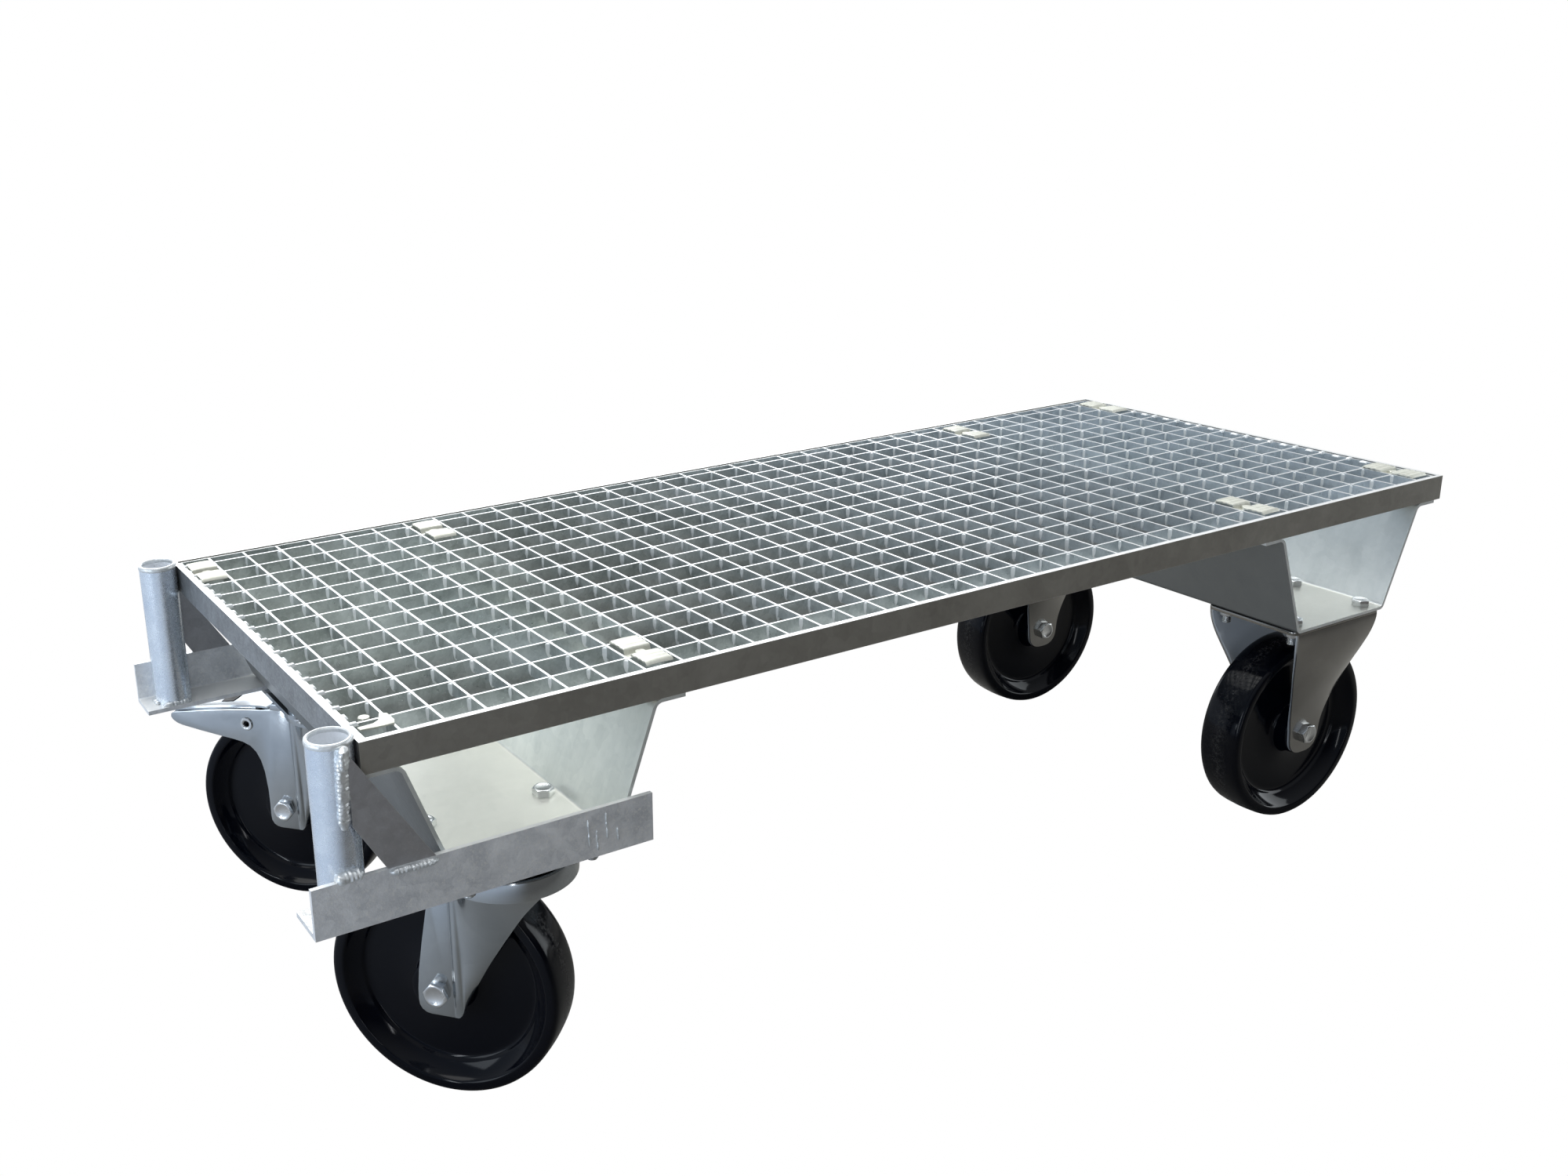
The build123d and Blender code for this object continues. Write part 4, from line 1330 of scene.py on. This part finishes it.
@dataclass
class SwivelFork(LegSheet):
    """Pressed fork of a swivel caster: crown and dust skirt, flat legs, flared webs, brake arms."""

    crown_r: float = 55.0
    crown_top: float = 214.0
    seam: float = 42.0
    pivot: tuple[float, float, float] = (90.0, 189.0, 5.6)

    def leg_outline(self, braked: bool) -> list[tuple[float, float]]:
        """Side outline of the flat part of a leg behind the web's seam.

        Args:
            braked: Whether the leg carries a brake arm.

        Returns:
            Its corner points.
        """
        foot = [(self.seam, 78.0), (62.0, 78.0), (66.5, 78.8), (70.2, 81.2), (72.4, 85.0),
                (73.0, 90.0), (72.8, 100.0)]
        if not braked:
            back = [(71.0, 118.0), (66.5, 145.0), (61.5, 172.0), (60.0, 186.0), (60.0, 210.0)]
            return foot + back + [(self.seam, 210.0)]
        back = [(73.0, 118.0), (75.0, 138.0), (78.0, 150.0), (82.5, 159.0), (88.5, 165.0),
                (97.0, 168.6), (108.0, 170.6), (121.0, 172.2), (145.0, 175.8), (165.0, 179.2),
                (171.0, 181.0), (175.8, 184.0), (178.0, 187.4), (177.6, 190.6), (174.0, 193.0),
                (140.0, 198.2), (108.0, 202.6), (88.0, 204.6), (72.0, 205.6), (60.0, 207.0)]
        return foot + back + [(self.seam, 208.5)]

    def web_rows(self) -> list[list[Point]]:
        """Rows of the flared web, from the leg's foot up to the crown's rim.

        Returns:
            Rows of points, each from the seam with its bead to the front edge.
        """
        front = {78.3: 39.0, 80.5: 36.0, 86.0: 33.4, 96.0: 29.0, 108.0: 22.5, 120.0: 16.0,
                 131.0: 10.0, 143.0: 2.4, 156.0: -5.6, 168.0: -13.4, 179.0: -20.4,
                 190.0: -28.0, 200.0: -37.0, 206.0: -43.5, 211.0: -48.0}
        bead = [(42.0, 0.0), (40.9, 0.2), (39.6, 3.0), (36.8, 4.6), (34.0, 3.4), (32.6, 1.6)]
        rows = []
        for level, edge in front.items():
            lift = max(0.0, (level - 118.0) / 93.0)
            fade = min(1.0, max(0.0, (level - 84.0) / 9.0))
            row = []
            for x, rise in bead:
                along = max(x, edge + (x - 33.0) * 0.3) if edge > 28 else x
                row.append(self.web_point(along, level, lift, rise * fade))
            last = row[5][0]
            edge = min(edge, last - 0.6)
            for share in (0.15, 0.3, 0.5, 0.7, 0.86, 1.0):
                curl = (2.2 - 5.6 * share ** 2.2) * fade * (1.0 - 0.8 * max(0.0, lift))
                row.append(self.web_point(last + (edge - last) * share, level, lift, curl))
            rows.append(row)
        return rows

    def web_point(self, x: float, level: float, lift: float, rise: float) -> Point:
        """One point of the web: it bellies out towards the crown's rim as it rises.

        Args:
            x: Where it is along the caster.
            level: Its height.
            lift: How far up the flare it is, from 0 to 1.
            rise: How far it stands off the sheet.

        Returns:
            The point.
        """
        rim = math.sqrt(max((self.crown_r - 0.6) ** 2 - x * x, self.outer ** 2 * 0.3))
        blend = min(1.0, max(0.0, (self.seam - x) / 26.0))
        blend = blend * blend * (3 - 2 * blend)
        out = max(0.0, rim - self.outer) * lift ** 1.7 * blend
        return (x, self.outer + out + rise, level)

    def crown(self, name: str) -> bpy.types.Object:
        """Crown disc with its rolled dust skirt round the ball race.

        Args:
            name: Name of the piece.

        Returns:
            The crown.
        """
        r, top = self.crown_r, self.crown_top
        return Bench.lathe(name, [
            (9.0, top - 4.0), (30.0, top - 4.0), (44.0, top - 4.2), (r - 6.0, top - 5.6),
            (r - 2.0, top - 8.4), (r - 0.8, top - 10.6), (r, top - 10.4), (r + 0.2, top - 8.0),
            (r + 0.2, top + 4.6), (r - 0.4, top + 6.2), (r - 1.8, top + 7.0), (r - 3.0, top + 6.4),
            (r - 3.5, top + 4.6), (r - 4.0, top + 1.0), (r - 6.0, top), (9.0, top)], 96)

    def build(self, name: str, braked: bool) -> bpy.types.Object:
        """Press both legs, the webs and the crown.

        Args:
            name: Name of the piece.
            braked: Whether the legs carry brake arms.

        Returns:
            The fork about its own swivel axis, on the floor.
        """
        middle = self.inner + self.thickness / 2
        leg = Bench.plate(name, self.leg_outline(braked), self.thickness, 0.7)
        Bench.put(leg, Matrix.Translation((0, middle * MM, 0)))
        if braked:
            self.drill(leg, *self.pivot)
        web = Bench.skin(name + "_web", self.web_rows(), self.thickness)
        both = self.pair(Bench.join([leg, web], name))
        bridge = Bench.plate(name + "_bridge", [(20.0, 210.0), (20.0, 213.4), (60.0, 213.4),
                                                (62.0, 211.6), (62.0, 206.0), (57.0, 206.0)],
                             2 * self.outer, 0.8)
        fork = Bench.join([both, bridge, self.crown(name + "_crown")], name)
        return Bench.tidy(fork, 38.0)


@dataclass
class FixedFork(LegSheet):
    """Pressed fork of a fixed caster: the plate's long edges roll down and draw in to the axle."""

    plate_top: float = 234.0
    plate_half: tuple[float, float] = (67.5, 53.8)
    plate_thickness: float = 4.0

    def leg_rows(self) -> list[list[Point]]:
        """Rows of one leg, from a table of height, half length, distance out and curl of its ends.

        Returns:
            Rows of points, from the plate down to the foot.
        """
        table = [(233.2, 62.0, 51.5, 0.0), (231.6, 62.0, 53.6, 0.0), (228.0, 61.8, 54.4, 0.2),
                 (220.0, 61.0, 54.4, 0.8), (208.0, 58.0, 54.0, 2.4), (196.0, 53.4, 53.0, 4.6),
                 (184.0, 48.6, 51.2, 6.4), (172.0, 43.6, 48.4, 7.2), (160.0, 38.6, 44.8, 6.6),
                 (148.0, 34.0, 40.6, 5.2), (136.0, 30.0, 36.4, 3.4), (124.0, 26.8, 32.8, 1.8),
                 (113.0, 24.2, 30.4, 0.6), (104.0, 22.6, 29.7, 0.0), (94.0, 22.0, 29.7, 0.0),
                 (87.0, 20.4, 29.7, 0.0), (81.6, 16.4, 29.7, 0.0), (78.6, 10.8, 29.7, 0.0),
                 (77.8, 5.0, 29.7, 0.0)]
        shares = (-1.0, -0.9, -0.75, -0.55, -0.28, 0.0, 0.28, 0.55, 0.75, 0.9, 1.0)
        return [[(half * s, out - curl * abs(s) ** 2.4, level) for s in shares]
                for level, half, out, curl in table]

    def plate_piece(self, name: str) -> bpy.types.Object:
        """The plate with rounded corners.

        Args:
            name: Name of the piece.

        Returns:
            The plate.
        """
        Bench.clear()
        length, width = self.plate_half
        thick = self.plate_thickness
        bpy.ops.mesh.primitive_cube_add(size=1.0, location=(0, 0, (self.plate_top - thick / 2) * MM))
        bpy.ops.transform.resize(value=(2 * length * MM, 2 * width * MM, thick * MM))
        bpy.ops.object.transform_apply(location=True, rotation=False, scale=True)
        plate = Bench.named(name)
        with Bench.edit(plate, "EDGE"):
            Bench.pick(plate, "edges", lambda e: abs(e.verts[0].co.z - e.verts[1].co.z) > MM)
            bpy.ops.mesh.bevel(offset=8.0 * MM, segments=6)
        Bench.soften(plate, 0.6)
        return plate

    def build(self, name: str) -> bpy.types.Object:
        """Press the plate and both legs, and mark the walls that face the wheel, which are painted
        lighter.

        Args:
            name: Name of the piece.

        Returns:
            The fork about the wheel's middle, on the floor.
        """
        both = self.pair(Bench.skin(name, self.leg_rows(), self.thickness))
        fork = Bench.tidy(Bench.join([both, self.plate_piece(name + "_plate")], name), 38.0)
        # The inner mark drives painted light on the walls that face the wheel.
        Bench.mark(fork, "inner", lambda c: -2.0 * c.normal.y * math.copysign(1.0, c.co.y))
        return fork


@dataclass
class BrakePedal:
    """Foot pedal between the arms: a pressed tread with a rolled lip and two cheeks."""

    half: float = 25.6
    thickness: float = 2.0
    pivot: tuple[float, float, float] = (90.0, 189.0, 5.55)

    def tread_rows(self) -> list[list[Point]]:
        """Rows of the tread along the trail, dished across.

        Returns:
            Rows of points, from the fork out to the rolled lip.
        """
        line = [(64.0, 206.2, 0.0), (68.0, 208.0, 0.0), (74.0, 208.6, 0.3), (84.0, 208.2, 0.8),
                (98.0, 206.8, 1.6), (112.0, 205.4, 2.6), (128.0, 203.4, 3.0), (146.0, 201.0, 2.6),
                (160.0, 198.8, 1.8), (168.0, 197.4, 1.0), (173.0, 195.6, 0.4), (175.4, 192.6, 0.0),
                (175.6, 189.6, 0.0)]
        shares = (-1.0, -0.94, -0.82, -0.6, -0.3, 0.0, 0.3, 0.6, 0.82, 0.94, 1.0)
        return [[(x, -self.half * s, z - dish * (1 - abs(s) ** 3)) for s in shares]
                for x, z, dish in line]

    def cheeks(self, name: str) -> bpy.types.Object:
        """Both folded sides, drilled for the rivets.

        Args:
            name: Name of the piece.

        Returns:
            The sides in one piece.
        """
        outline = [(80.0, 206.4), (80.6, 190.0), (82.6, 184.0), (87.0, 180.8), (92.0, 180.4),
                   (97.0, 182.2), (110.0, 183.6), (140.0, 185.6), (166.0, 187.4), (172.0, 189.6),
                   (173.4, 194.2), (146.0, 199.6), (112.0, 204.4)]
        side = Bench.plate(name, outline, self.thickness, 0.4)
        LegSheet.drill(side, *self.pivot)
        Bench.put(side, Matrix.Translation((0, (self.half - self.thickness / 2) * MM, 0)))
        return LegSheet.pair(side)

    def build(self, name: str) -> bpy.types.Object:
        """Press the tread and both cheeks.

        Args:
            name: Name of the piece.

        Returns:
            The pedal about its caster's swivel axis, on the floor.
        """
        tread = Bench.skin(name, self.tread_rows(), self.thickness)
        return Bench.tidy(Bench.join([tread, self.cheeks(name + "_cheeks")], name), 38.0)


@dataclass
class Casters:
    """All four casters: wheels, forks, axle sets and the far swivel caster's pedal."""

    deck: Deck
    finishes: Finishes
    inset: float = 56.0
    swivel_x: float = 134.0
    fixed_x: float = 1060.0
    trail: float = 55.0
    swivel_turn: float = 132.0
    axle_z: float = 100.0
    bolt_turn: float = 0.35

    def place(self, kind: Caster, side: Side) -> Matrix:
        """Place of a caster, its local X the way it trails.

        Args:
            kind: Swivel or fixed.
            side: Near or far.

        Returns:
            Its matrix, with the origin on the floor.
        """
        y = self.inset if side is Side.NEAR else self.deck.width - self.inset
        if kind is Caster.SWIVEL:
            return self.deck.local(self.swivel_x, y, 0.0, self.swivel_turn)
        return self.deck.local(self.fixed_x, y, 0.0, 180.0)

    def axle(self, kind: Caster, side: Side) -> Matrix:
        """Place of a caster's axle.

        Args:
            kind: Swivel or fixed.
            side: Near or far.

        Returns:
            Its matrix, with Z towards the caster's left.
        """
        back = self.trail if kind is Caster.SWIVEL else 0.0
        lift = Matrix.Translation((back * MM, 0, self.axle_z * MM))
        return self.place(kind, side) @ lift @ Matrix.Rotation(-math.pi / 2, 4, "X")

    def body(self, kind: Caster, side: Side) -> str:
        """Name of the body that a caster's fork belongs to."""
        return "swivel_" + side.value if kind is Caster.SWIVEL else "frame"

    def build(self) -> None:
        """Make every caster."""
        for kind in Caster:
            for side in Side:
                self.one(kind, side)
        pedal = BrakePedal().build("foot_pedal")
        Bench.put(pedal, self.place(Caster.SWIVEL, Side.FAR))
        self.finishes.fit(pedal, "zinc_plated_steel", "pedal", "brake_pedal")
        bolts = PlateBolts().build("plate_bolts", self.bolt_places())
        self.finishes.fit(bolts, "bright_steel", "frame", "caster_plate_bolts")
        self.rivets()

    def bolt_places(self) -> list[Matrix]:
        """Where the plate bolts stand, each turned its own way.

        Returns:
            The matrix of each.
        """
        along, across = PlateBolts().pitch
        return [self.deck.local(x + sx * along, y + sy * across, 0.0, DRAW.uniform(0.0, 60.0))
                for x in (self.swivel_x, self.fixed_x)
                for y in (self.inset, self.deck.width - self.inset)
                for sx in (-1, 1) for sy in (-1, 1)]

    def rivets(self) -> None:
        """The two hollow rivets that the pedal turns on, with their rolled bright rims."""
        ring = Bench.lathe("pedal_rivets", [(3.1, 23.6), (5.3, 23.6), (5.3, 29.8), (6.7, 29.9),
                                            (6.9, 30.5), (6.2, 31.2), (4.9, 31.4), (3.7, 31.0),
                                            (3.1, 30.2)], 40)
        x, z, _ = BrakePedal().pivot
        spot = (self.place(Caster.SWIVEL, Side.FAR) @ Matrix.Translation((x * MM, 0, z * MM))
                @ Matrix.Rotation(-math.pi / 2, 4, "X"))
        pair = Bench.copies(ring, [spot, spot @ Matrix.Rotation(math.pi, 4, "X")], "pedal_rivets")
        body = frame["nodes"]["brake_pedal_rivets"]["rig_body"]
        self.finishes.fit(Bench.tidy(pair, 60.0), "bright_steel", body, "brake_pedal_rivets")

    def one(self, kind: Caster, side: Side) -> None:
        """Make one caster.

        Args:
            kind: Swivel or fixed.
            side: Near or far.
        """
        end = kind.value + "_" + side.value
        body = self.body(kind, side)
        wheel = Bench.put(Wheel().build("cast_wheel_" + end), self.axle(kind, side))
        self.finishes.fit(wheel, "black_wheel", "wheel_" + end, "wheel_" + end)
        head = AxleSet().head_piece("axle_head_" + end)
        nut = AxleSet().nut_piece("axle_end_" + end)
        for piece in (head, nut):
            Bench.put(piece, self.axle(kind, side) @ Matrix.Rotation(self.bolt_turn, 4, "Z"))
        self.finishes.fit(head, "bright_steel", body, "axle_bolt_" + end)
        self.finishes.fit(nut, "bright_steel", body, "axle_nut_" + end)
        if kind is Caster.SWIVEL:
            fork, own = SwivelFork().build("pressed_fork_" + end, side is Side.FAR), ""
        else:
            # The fixed forks take a shaded copy of the pressing's finish: painted shade.
            fork, own = FixedFork().build("pressed_fork_" + end), "fixed_fork"
        Bench.put(fork, self.place(kind, side))
        node = f"{kind.value}_fork_{side.value}"
        self.finishes.fit(fork, "zinc_plated_steel", body, node, finish=own)


# ---------------------------------------------------------------- deck
@dataclass
class Grating:
    """What the zinc bath and the press leave on the grating: webs at every crossing, end strips."""

    deck: Deck
    finishes: Finishes
    mesh: float = 100.0 / 3.0
    first_y: float = 34.6
    across: int = 35
    along: int = 14
    top: float = 365.5
    end_bar: float = 8.2

    def webs(self) -> bpy.types.Object:
        """A tapering fillet of zinc under each crossing.

        Returns:
            All fillets in one piece.
        """
        drop = Bench.lathe("zinc_webs", [(3.0, -0.5), (4.3, -1.4), (4.2, -6.5), (3.4, -10.5),
                                         (2.0, -13.4), (0.6, -14.6)], 4, True)
        places = []
        for i in range(1, self.across + 1):
            for j in range(self.along):
                spot = self.deck.at(i * self.mesh, self.first_y + j * self.mesh, self.top)
                size = DRAW.uniform(0.8, 1.12)
                places.append(Matrix.Translation(spot)
                              @ Matrix.Diagonal((size, size, DRAW.uniform(0.75, 1.1), 1.0)))
        return Bench.copies(drop, places, "zinc_webs")

    def tooth(self, name: str, size: Point) -> bpy.types.Object:
        """A cast lump: a block with rounded, drawn-in upper corners.

        Args:
            name: Name of the piece.
            size: Its sides in millimetres.

        Returns:
            The lump.
        """
        Bench.clear()
        bpy.ops.mesh.primitive_cube_add(size=MM)
        bpy.ops.transform.resize(value=size)
        bpy.ops.object.transform_apply(location=True, rotation=False, scale=True)
        lump = Bench.named(name)
        with Bench.edit(lump, "FACE"):
            Bench.pick(lump, "faces", lambda f: f.normal.z > 0.9)
            bpy.ops.transform.resize(value=(0.7, 0.65, 1.0))
            Bench.pick(lump, "faces", lambda f: f.normal.z > 0.9)
            bpy.ops.mesh.bevel(offset=0.5 * MM, segments=2)
        return Bench.tidy(lump, 50.0)

    def ends(self) -> bpy.types.Object:
        """The lumps along both end bars: a large one at each bar, a small one between.

        Returns:
            All lumps in one piece.
        """
        big = self.tooth("end_teeth", (7.0, 4.6, 2.6))
        small = self.tooth("end_teeth_small", (5.0, 8.5, 1.6))
        big_places, small_places = [], []
        for x, sign in ((self.end_bar, 1.0), (self.deck.length - self.end_bar, -1.0)):
            for j in range(self.along):
                y = self.first_y + j * self.mesh
                near = self.deck.at(x + sign * DRAW.uniform(0.2, 1.2), y + DRAW.uniform(-0.6, 0.6),
                                    self.top)
                big_places.append(Matrix.Translation(near)
                                  @ Matrix.Rotation(DRAW.uniform(-0.2, 0.2), 4, "Z"))
                if j < self.along - 1:
                    mid = self.deck.at(x - sign * 0.4, y + self.mesh / 2, self.top - 0.4)
                    small_places.append(Matrix.Translation(mid))
        first = Bench.copies(big, big_places, "end_teeth")
        second = Bench.copies(small, small_places, "end_teeth_small")
        return Bench.join([first, second], "end_teeth")

    def build(self) -> None:
        """Make the webs and the end lumps."""
        for piece in (self.webs(), self.ends()):
            self.finishes.fit(piece, "galvanised_steel", "frame", finish="web")


@dataclass
class Clips:
    """Pressed clips that hold the grating: two ribbed tabs with a sunk saddle between."""

    deck: Deck
    finishes: Finishes
    width: float = 24.0
    seat: float = 365.6
    thickness: float = 1.5
    columns: tuple[float, ...] = (19.92, 250.0, 950.0, 1180.08)
    rows: tuple[float, ...] = (34.6, 434.6)

    def sheet(self) -> list[list[Point]]:
        """Rows of the upper face along Y: ribbed tabs and the saddle.

        Returns:
            Rows of points across the clip.
        """
        line = [(-22.0, -1.4), (-21.0, 0.0), (-18.4, 2.0), (-15.4, 0.0), (-12.4, 2.0), (-9.4, 0.0),
                (-6.4, 2.0), (-3.4, 0.0), (0.4, 1.2), (2.2, 0.2), (3.0, -3.4), (4.2, -4.9), (10.8, -4.9),
                (12.0, -3.4), (12.8, 0.2), (14.6, 1.2), (18.2, 0.0), (21.2, 2.0), (24.2, 0.0),
                (27.2, 2.0), (30.2, 0.0), (33.2, 2.0), (35.2, 0.0), (35.8, -1.4)]
        half = self.width / 2
        shares = (-1, -0.9, -0.4, 0.4, 0.9, 1)
        return [[(half * s, y, z + self.thickness - 0.5 * abs(s) ** 6) for s in shares]
                for y, z in line]

    def corner(self) -> bpy.types.Object:
        """The near corner's clip, whose bent flat lies over the first bars.

        Returns:
            The clip in its place.
        """
        outline = [(8.5, 18.5), (8.0, 23.8), (20.0, 24.5), (25.5, 28.0), (30.5, 39.5), (35.6, 36.5),
                   (35.8, 23.0), (33.6, 17.2), (26.0, 16.8)]
        flat = Bench.plate("grating_clip_corner", outline, self.thickness, 0.4)
        stand = self.deck.local(0.0, 0.0, self.seat + self.thickness / 2)
        return Bench.tidy(Bench.put(flat, stand @ Matrix.Rotation(-math.pi / 2, 4, "X")), 40.0)

    def build(self) -> None:
        """Press every clip and put it over its bars."""
        name = "grating_clips_pressed"
        pattern = Bench.tidy(Bench.skin(name, self.sheet(), self.thickness, smooth=1), 50.0)
        places = [self.deck.local(x, y, self.seat) for y in self.rows for x in self.columns]
        clips = Bench.copies(pattern, places[1:], name)
        clips = Bench.join([clips, self.corner()], name)
        self.finishes.fit(clips, "pressed_zinc", "frame", "grating_clips")


@dataclass
class Welds:
    """Lumpy weld beads of the sockets, gussets and side angles, and thick zinc where it ran."""

    deck: Deck
    finishes: Finishes
    ripple: float = 0.09
    lump_size: float = 0.004
    lump_rise: float = 1.6

    def bead(self, name: str, start: Point, end: Point, width: float, flat: float,
             turn: float) -> bpy.types.Object:
        """One bead between two points.

        Args:
            name: Name of the bead.
            start: First point in deck millimetres.
            end: Last point.
            width: Its width.
            flat: How thick it is against its width.
            turn: Degrees turned about its own length.

        Returns:
            The bead.
        """
        first, last = self.deck.at(*start), self.deck.at(*end)
        way = last - first
        length = way.length / MM
        count = max(6, round(length / 1.5))
        rings = [(0.5, -1.0)]
        for k in range(count + 1):
            share = k / count
            swell = min(1.0, 0.55 + 4.0 * min(share, 1.0 - share))
            ripple = 1.0 + (self.ripple if k % 2 else -self.ripple) + DRAW.uniform(-0.08, 0.08)
            rings.append((width / 2 * swell * ripple, length * share))
        rings.append((0.5, length + 1.0))
        made = Bench.lathe(name, rings, 16, True)
        shape = Matrix.Rotation(math.radians(turn), 4, "Z") @ Matrix.Diagonal((1.0, flat, 1.0, 1.0))
        along = way.to_track_quat("Z", "Y").to_matrix().to_4x4()
        Bench.put(made, Matrix.Translation(first) @ along @ shape)
        lumps = bpy.data.textures.new(name + "_lumps", "CLOUDS")
        lumps.noise_scale = self.lump_size
        Bench.apply(made, "SUBSURF", levels=1, render_levels=1)
        Bench.apply(made, "DISPLACE", texture=lumps, strength=self.lump_rise * MM, mid_level=0.5,
                    texture_coords="GLOBAL")
        return Bench.tidy(made, 180.0)

    def rim(self, name: str, side: Side) -> bpy.types.Object:
        """The thick zinc ring on the mouth of a socket tube.

        Args:
            name: Name of the ring.
            side: Near or far.

        Returns:
            The ring in its place.
        """
        low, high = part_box("socket_tube_" + side.value)
        ring = Bench.lathe(name, [(14.0, -2.2), (14.1, -0.2), (14.9, 0.7), (16.0, 0.6), (17.0, -0.3),
                                  (17.35, -1.6), (17.3, -3.0), (16.8, -3.8), (14.6, -3.6)], 64)
        middle = (low + high) / 2
        return Bench.put(ring, Matrix.Translation((middle.x, middle.y, high.z)))

    def side(self, side: Side) -> bpy.types.Object:
        """All beads on one side, mirrored for the far side.

        Args:
            side: Near or far.

        Returns:
            The beads and the tube's ring in one piece.
        """
        name = "weld_beads_" + side.value
        rows = [("_socket", (-14.4, -6.2, 364.5), (-16.6, -5.6, 308.0), 13.5, 0.55, 35.0),
                ("_crater", (-13.8, -7.4, 369.0), (-14.2, -7.4, 353.0), 14.0, 0.5, 35.0),
                ("_foot", (12.5, -8.6, 267.2), (48.5, -8.6, 266.8), 9.0, 0.6, 0.0),
                ("_base", (-27.0, -5.0, 271.2), (-7.0, -5.0, 271.8), 12.0, 0.7, 0.0),
                ("_inner", (-30.0, 28.0, 235.0), (-4.0, 28.0, 235.0), 7.0, 0.8, 0.0),
                ("_end", (-33.4, 6.0, 235.0), (-33.4, 20.0, 235.0), 6.0, 0.8, 0.0)]
        rows += [("_run", (x, -7.6, top), (x + 1.0, -7.6, low), 3.2, 0.6, 0.0)
                 for x, top, low in ((171.0, 262.0, 240.0), (178.0, 252.0, 236.0),
                                     (186.5, 264.0, 243.0), (196.0, 250.0, 238.0))]
        beads = []
        for part, start, end, width, flat, turn in rows:
            ends = [(x, y if side is Side.NEAR else self.deck.width - y, z) for x, y, z in (start, end)]
            beads.append(self.bead(name + part, *ends, width, flat, turn))
        beads.append(self.rim(name + "_rim", side))
        return Bench.join(beads, name)

    def build(self) -> None:
        """Lay the beads of both sides."""
        for side in Side:
            self.finishes.fit(self.side(side), "hot_dip_steel", "frame", finish="weld")


# ---------------------------------------------------------------- assembly
# The right channel, the tubes and the fixed forks take copies with painted light and shade.
OWN_FINISH = {"deck_rail_near": "rail", "deck_rail_far": "rail", "deck_rail_left": "end_rail",
              "deck_rail_right": "end_rail", "socket_tube_near": "tube", "socket_tube_far": "tube",
              "gusset_near": "gusset", "gusset_far": "gusset", "channel_right": "right_sheet"}


def dress_nodes(finishes: Finishes) -> None:
    """Give every carried-over node its slot's finish, or one of its own.

    Args:
        finishes: Every finish.
    """
    slots = {part["node"]: part["material_slot"] for part in frame["record"]["subparts"]}
    for name, node in frame["nodes"].items():
        finishes.dress(node, slots[name], OWN_FINISH.get(name, ""))
    LOG.info("dressed %d nodes", len(frame["nodes"]))


def main() -> None:
    """Build the studio and every sub-assembly in order."""
    logging.basicConfig(level=logging.INFO, format="%(message)s")
    deck = Deck.from_frame()
    Studio(deck).build()
    finishes = Finishes()
    dress_nodes(finishes)
    Casters(deck, finishes).build()
    Grating(deck, finishes).build()
    Clips(deck, finishes).build()
    Welds(deck, finishes).build()
    bpy.context.view_layer.update()


if __name__ == "__main__":
    main()
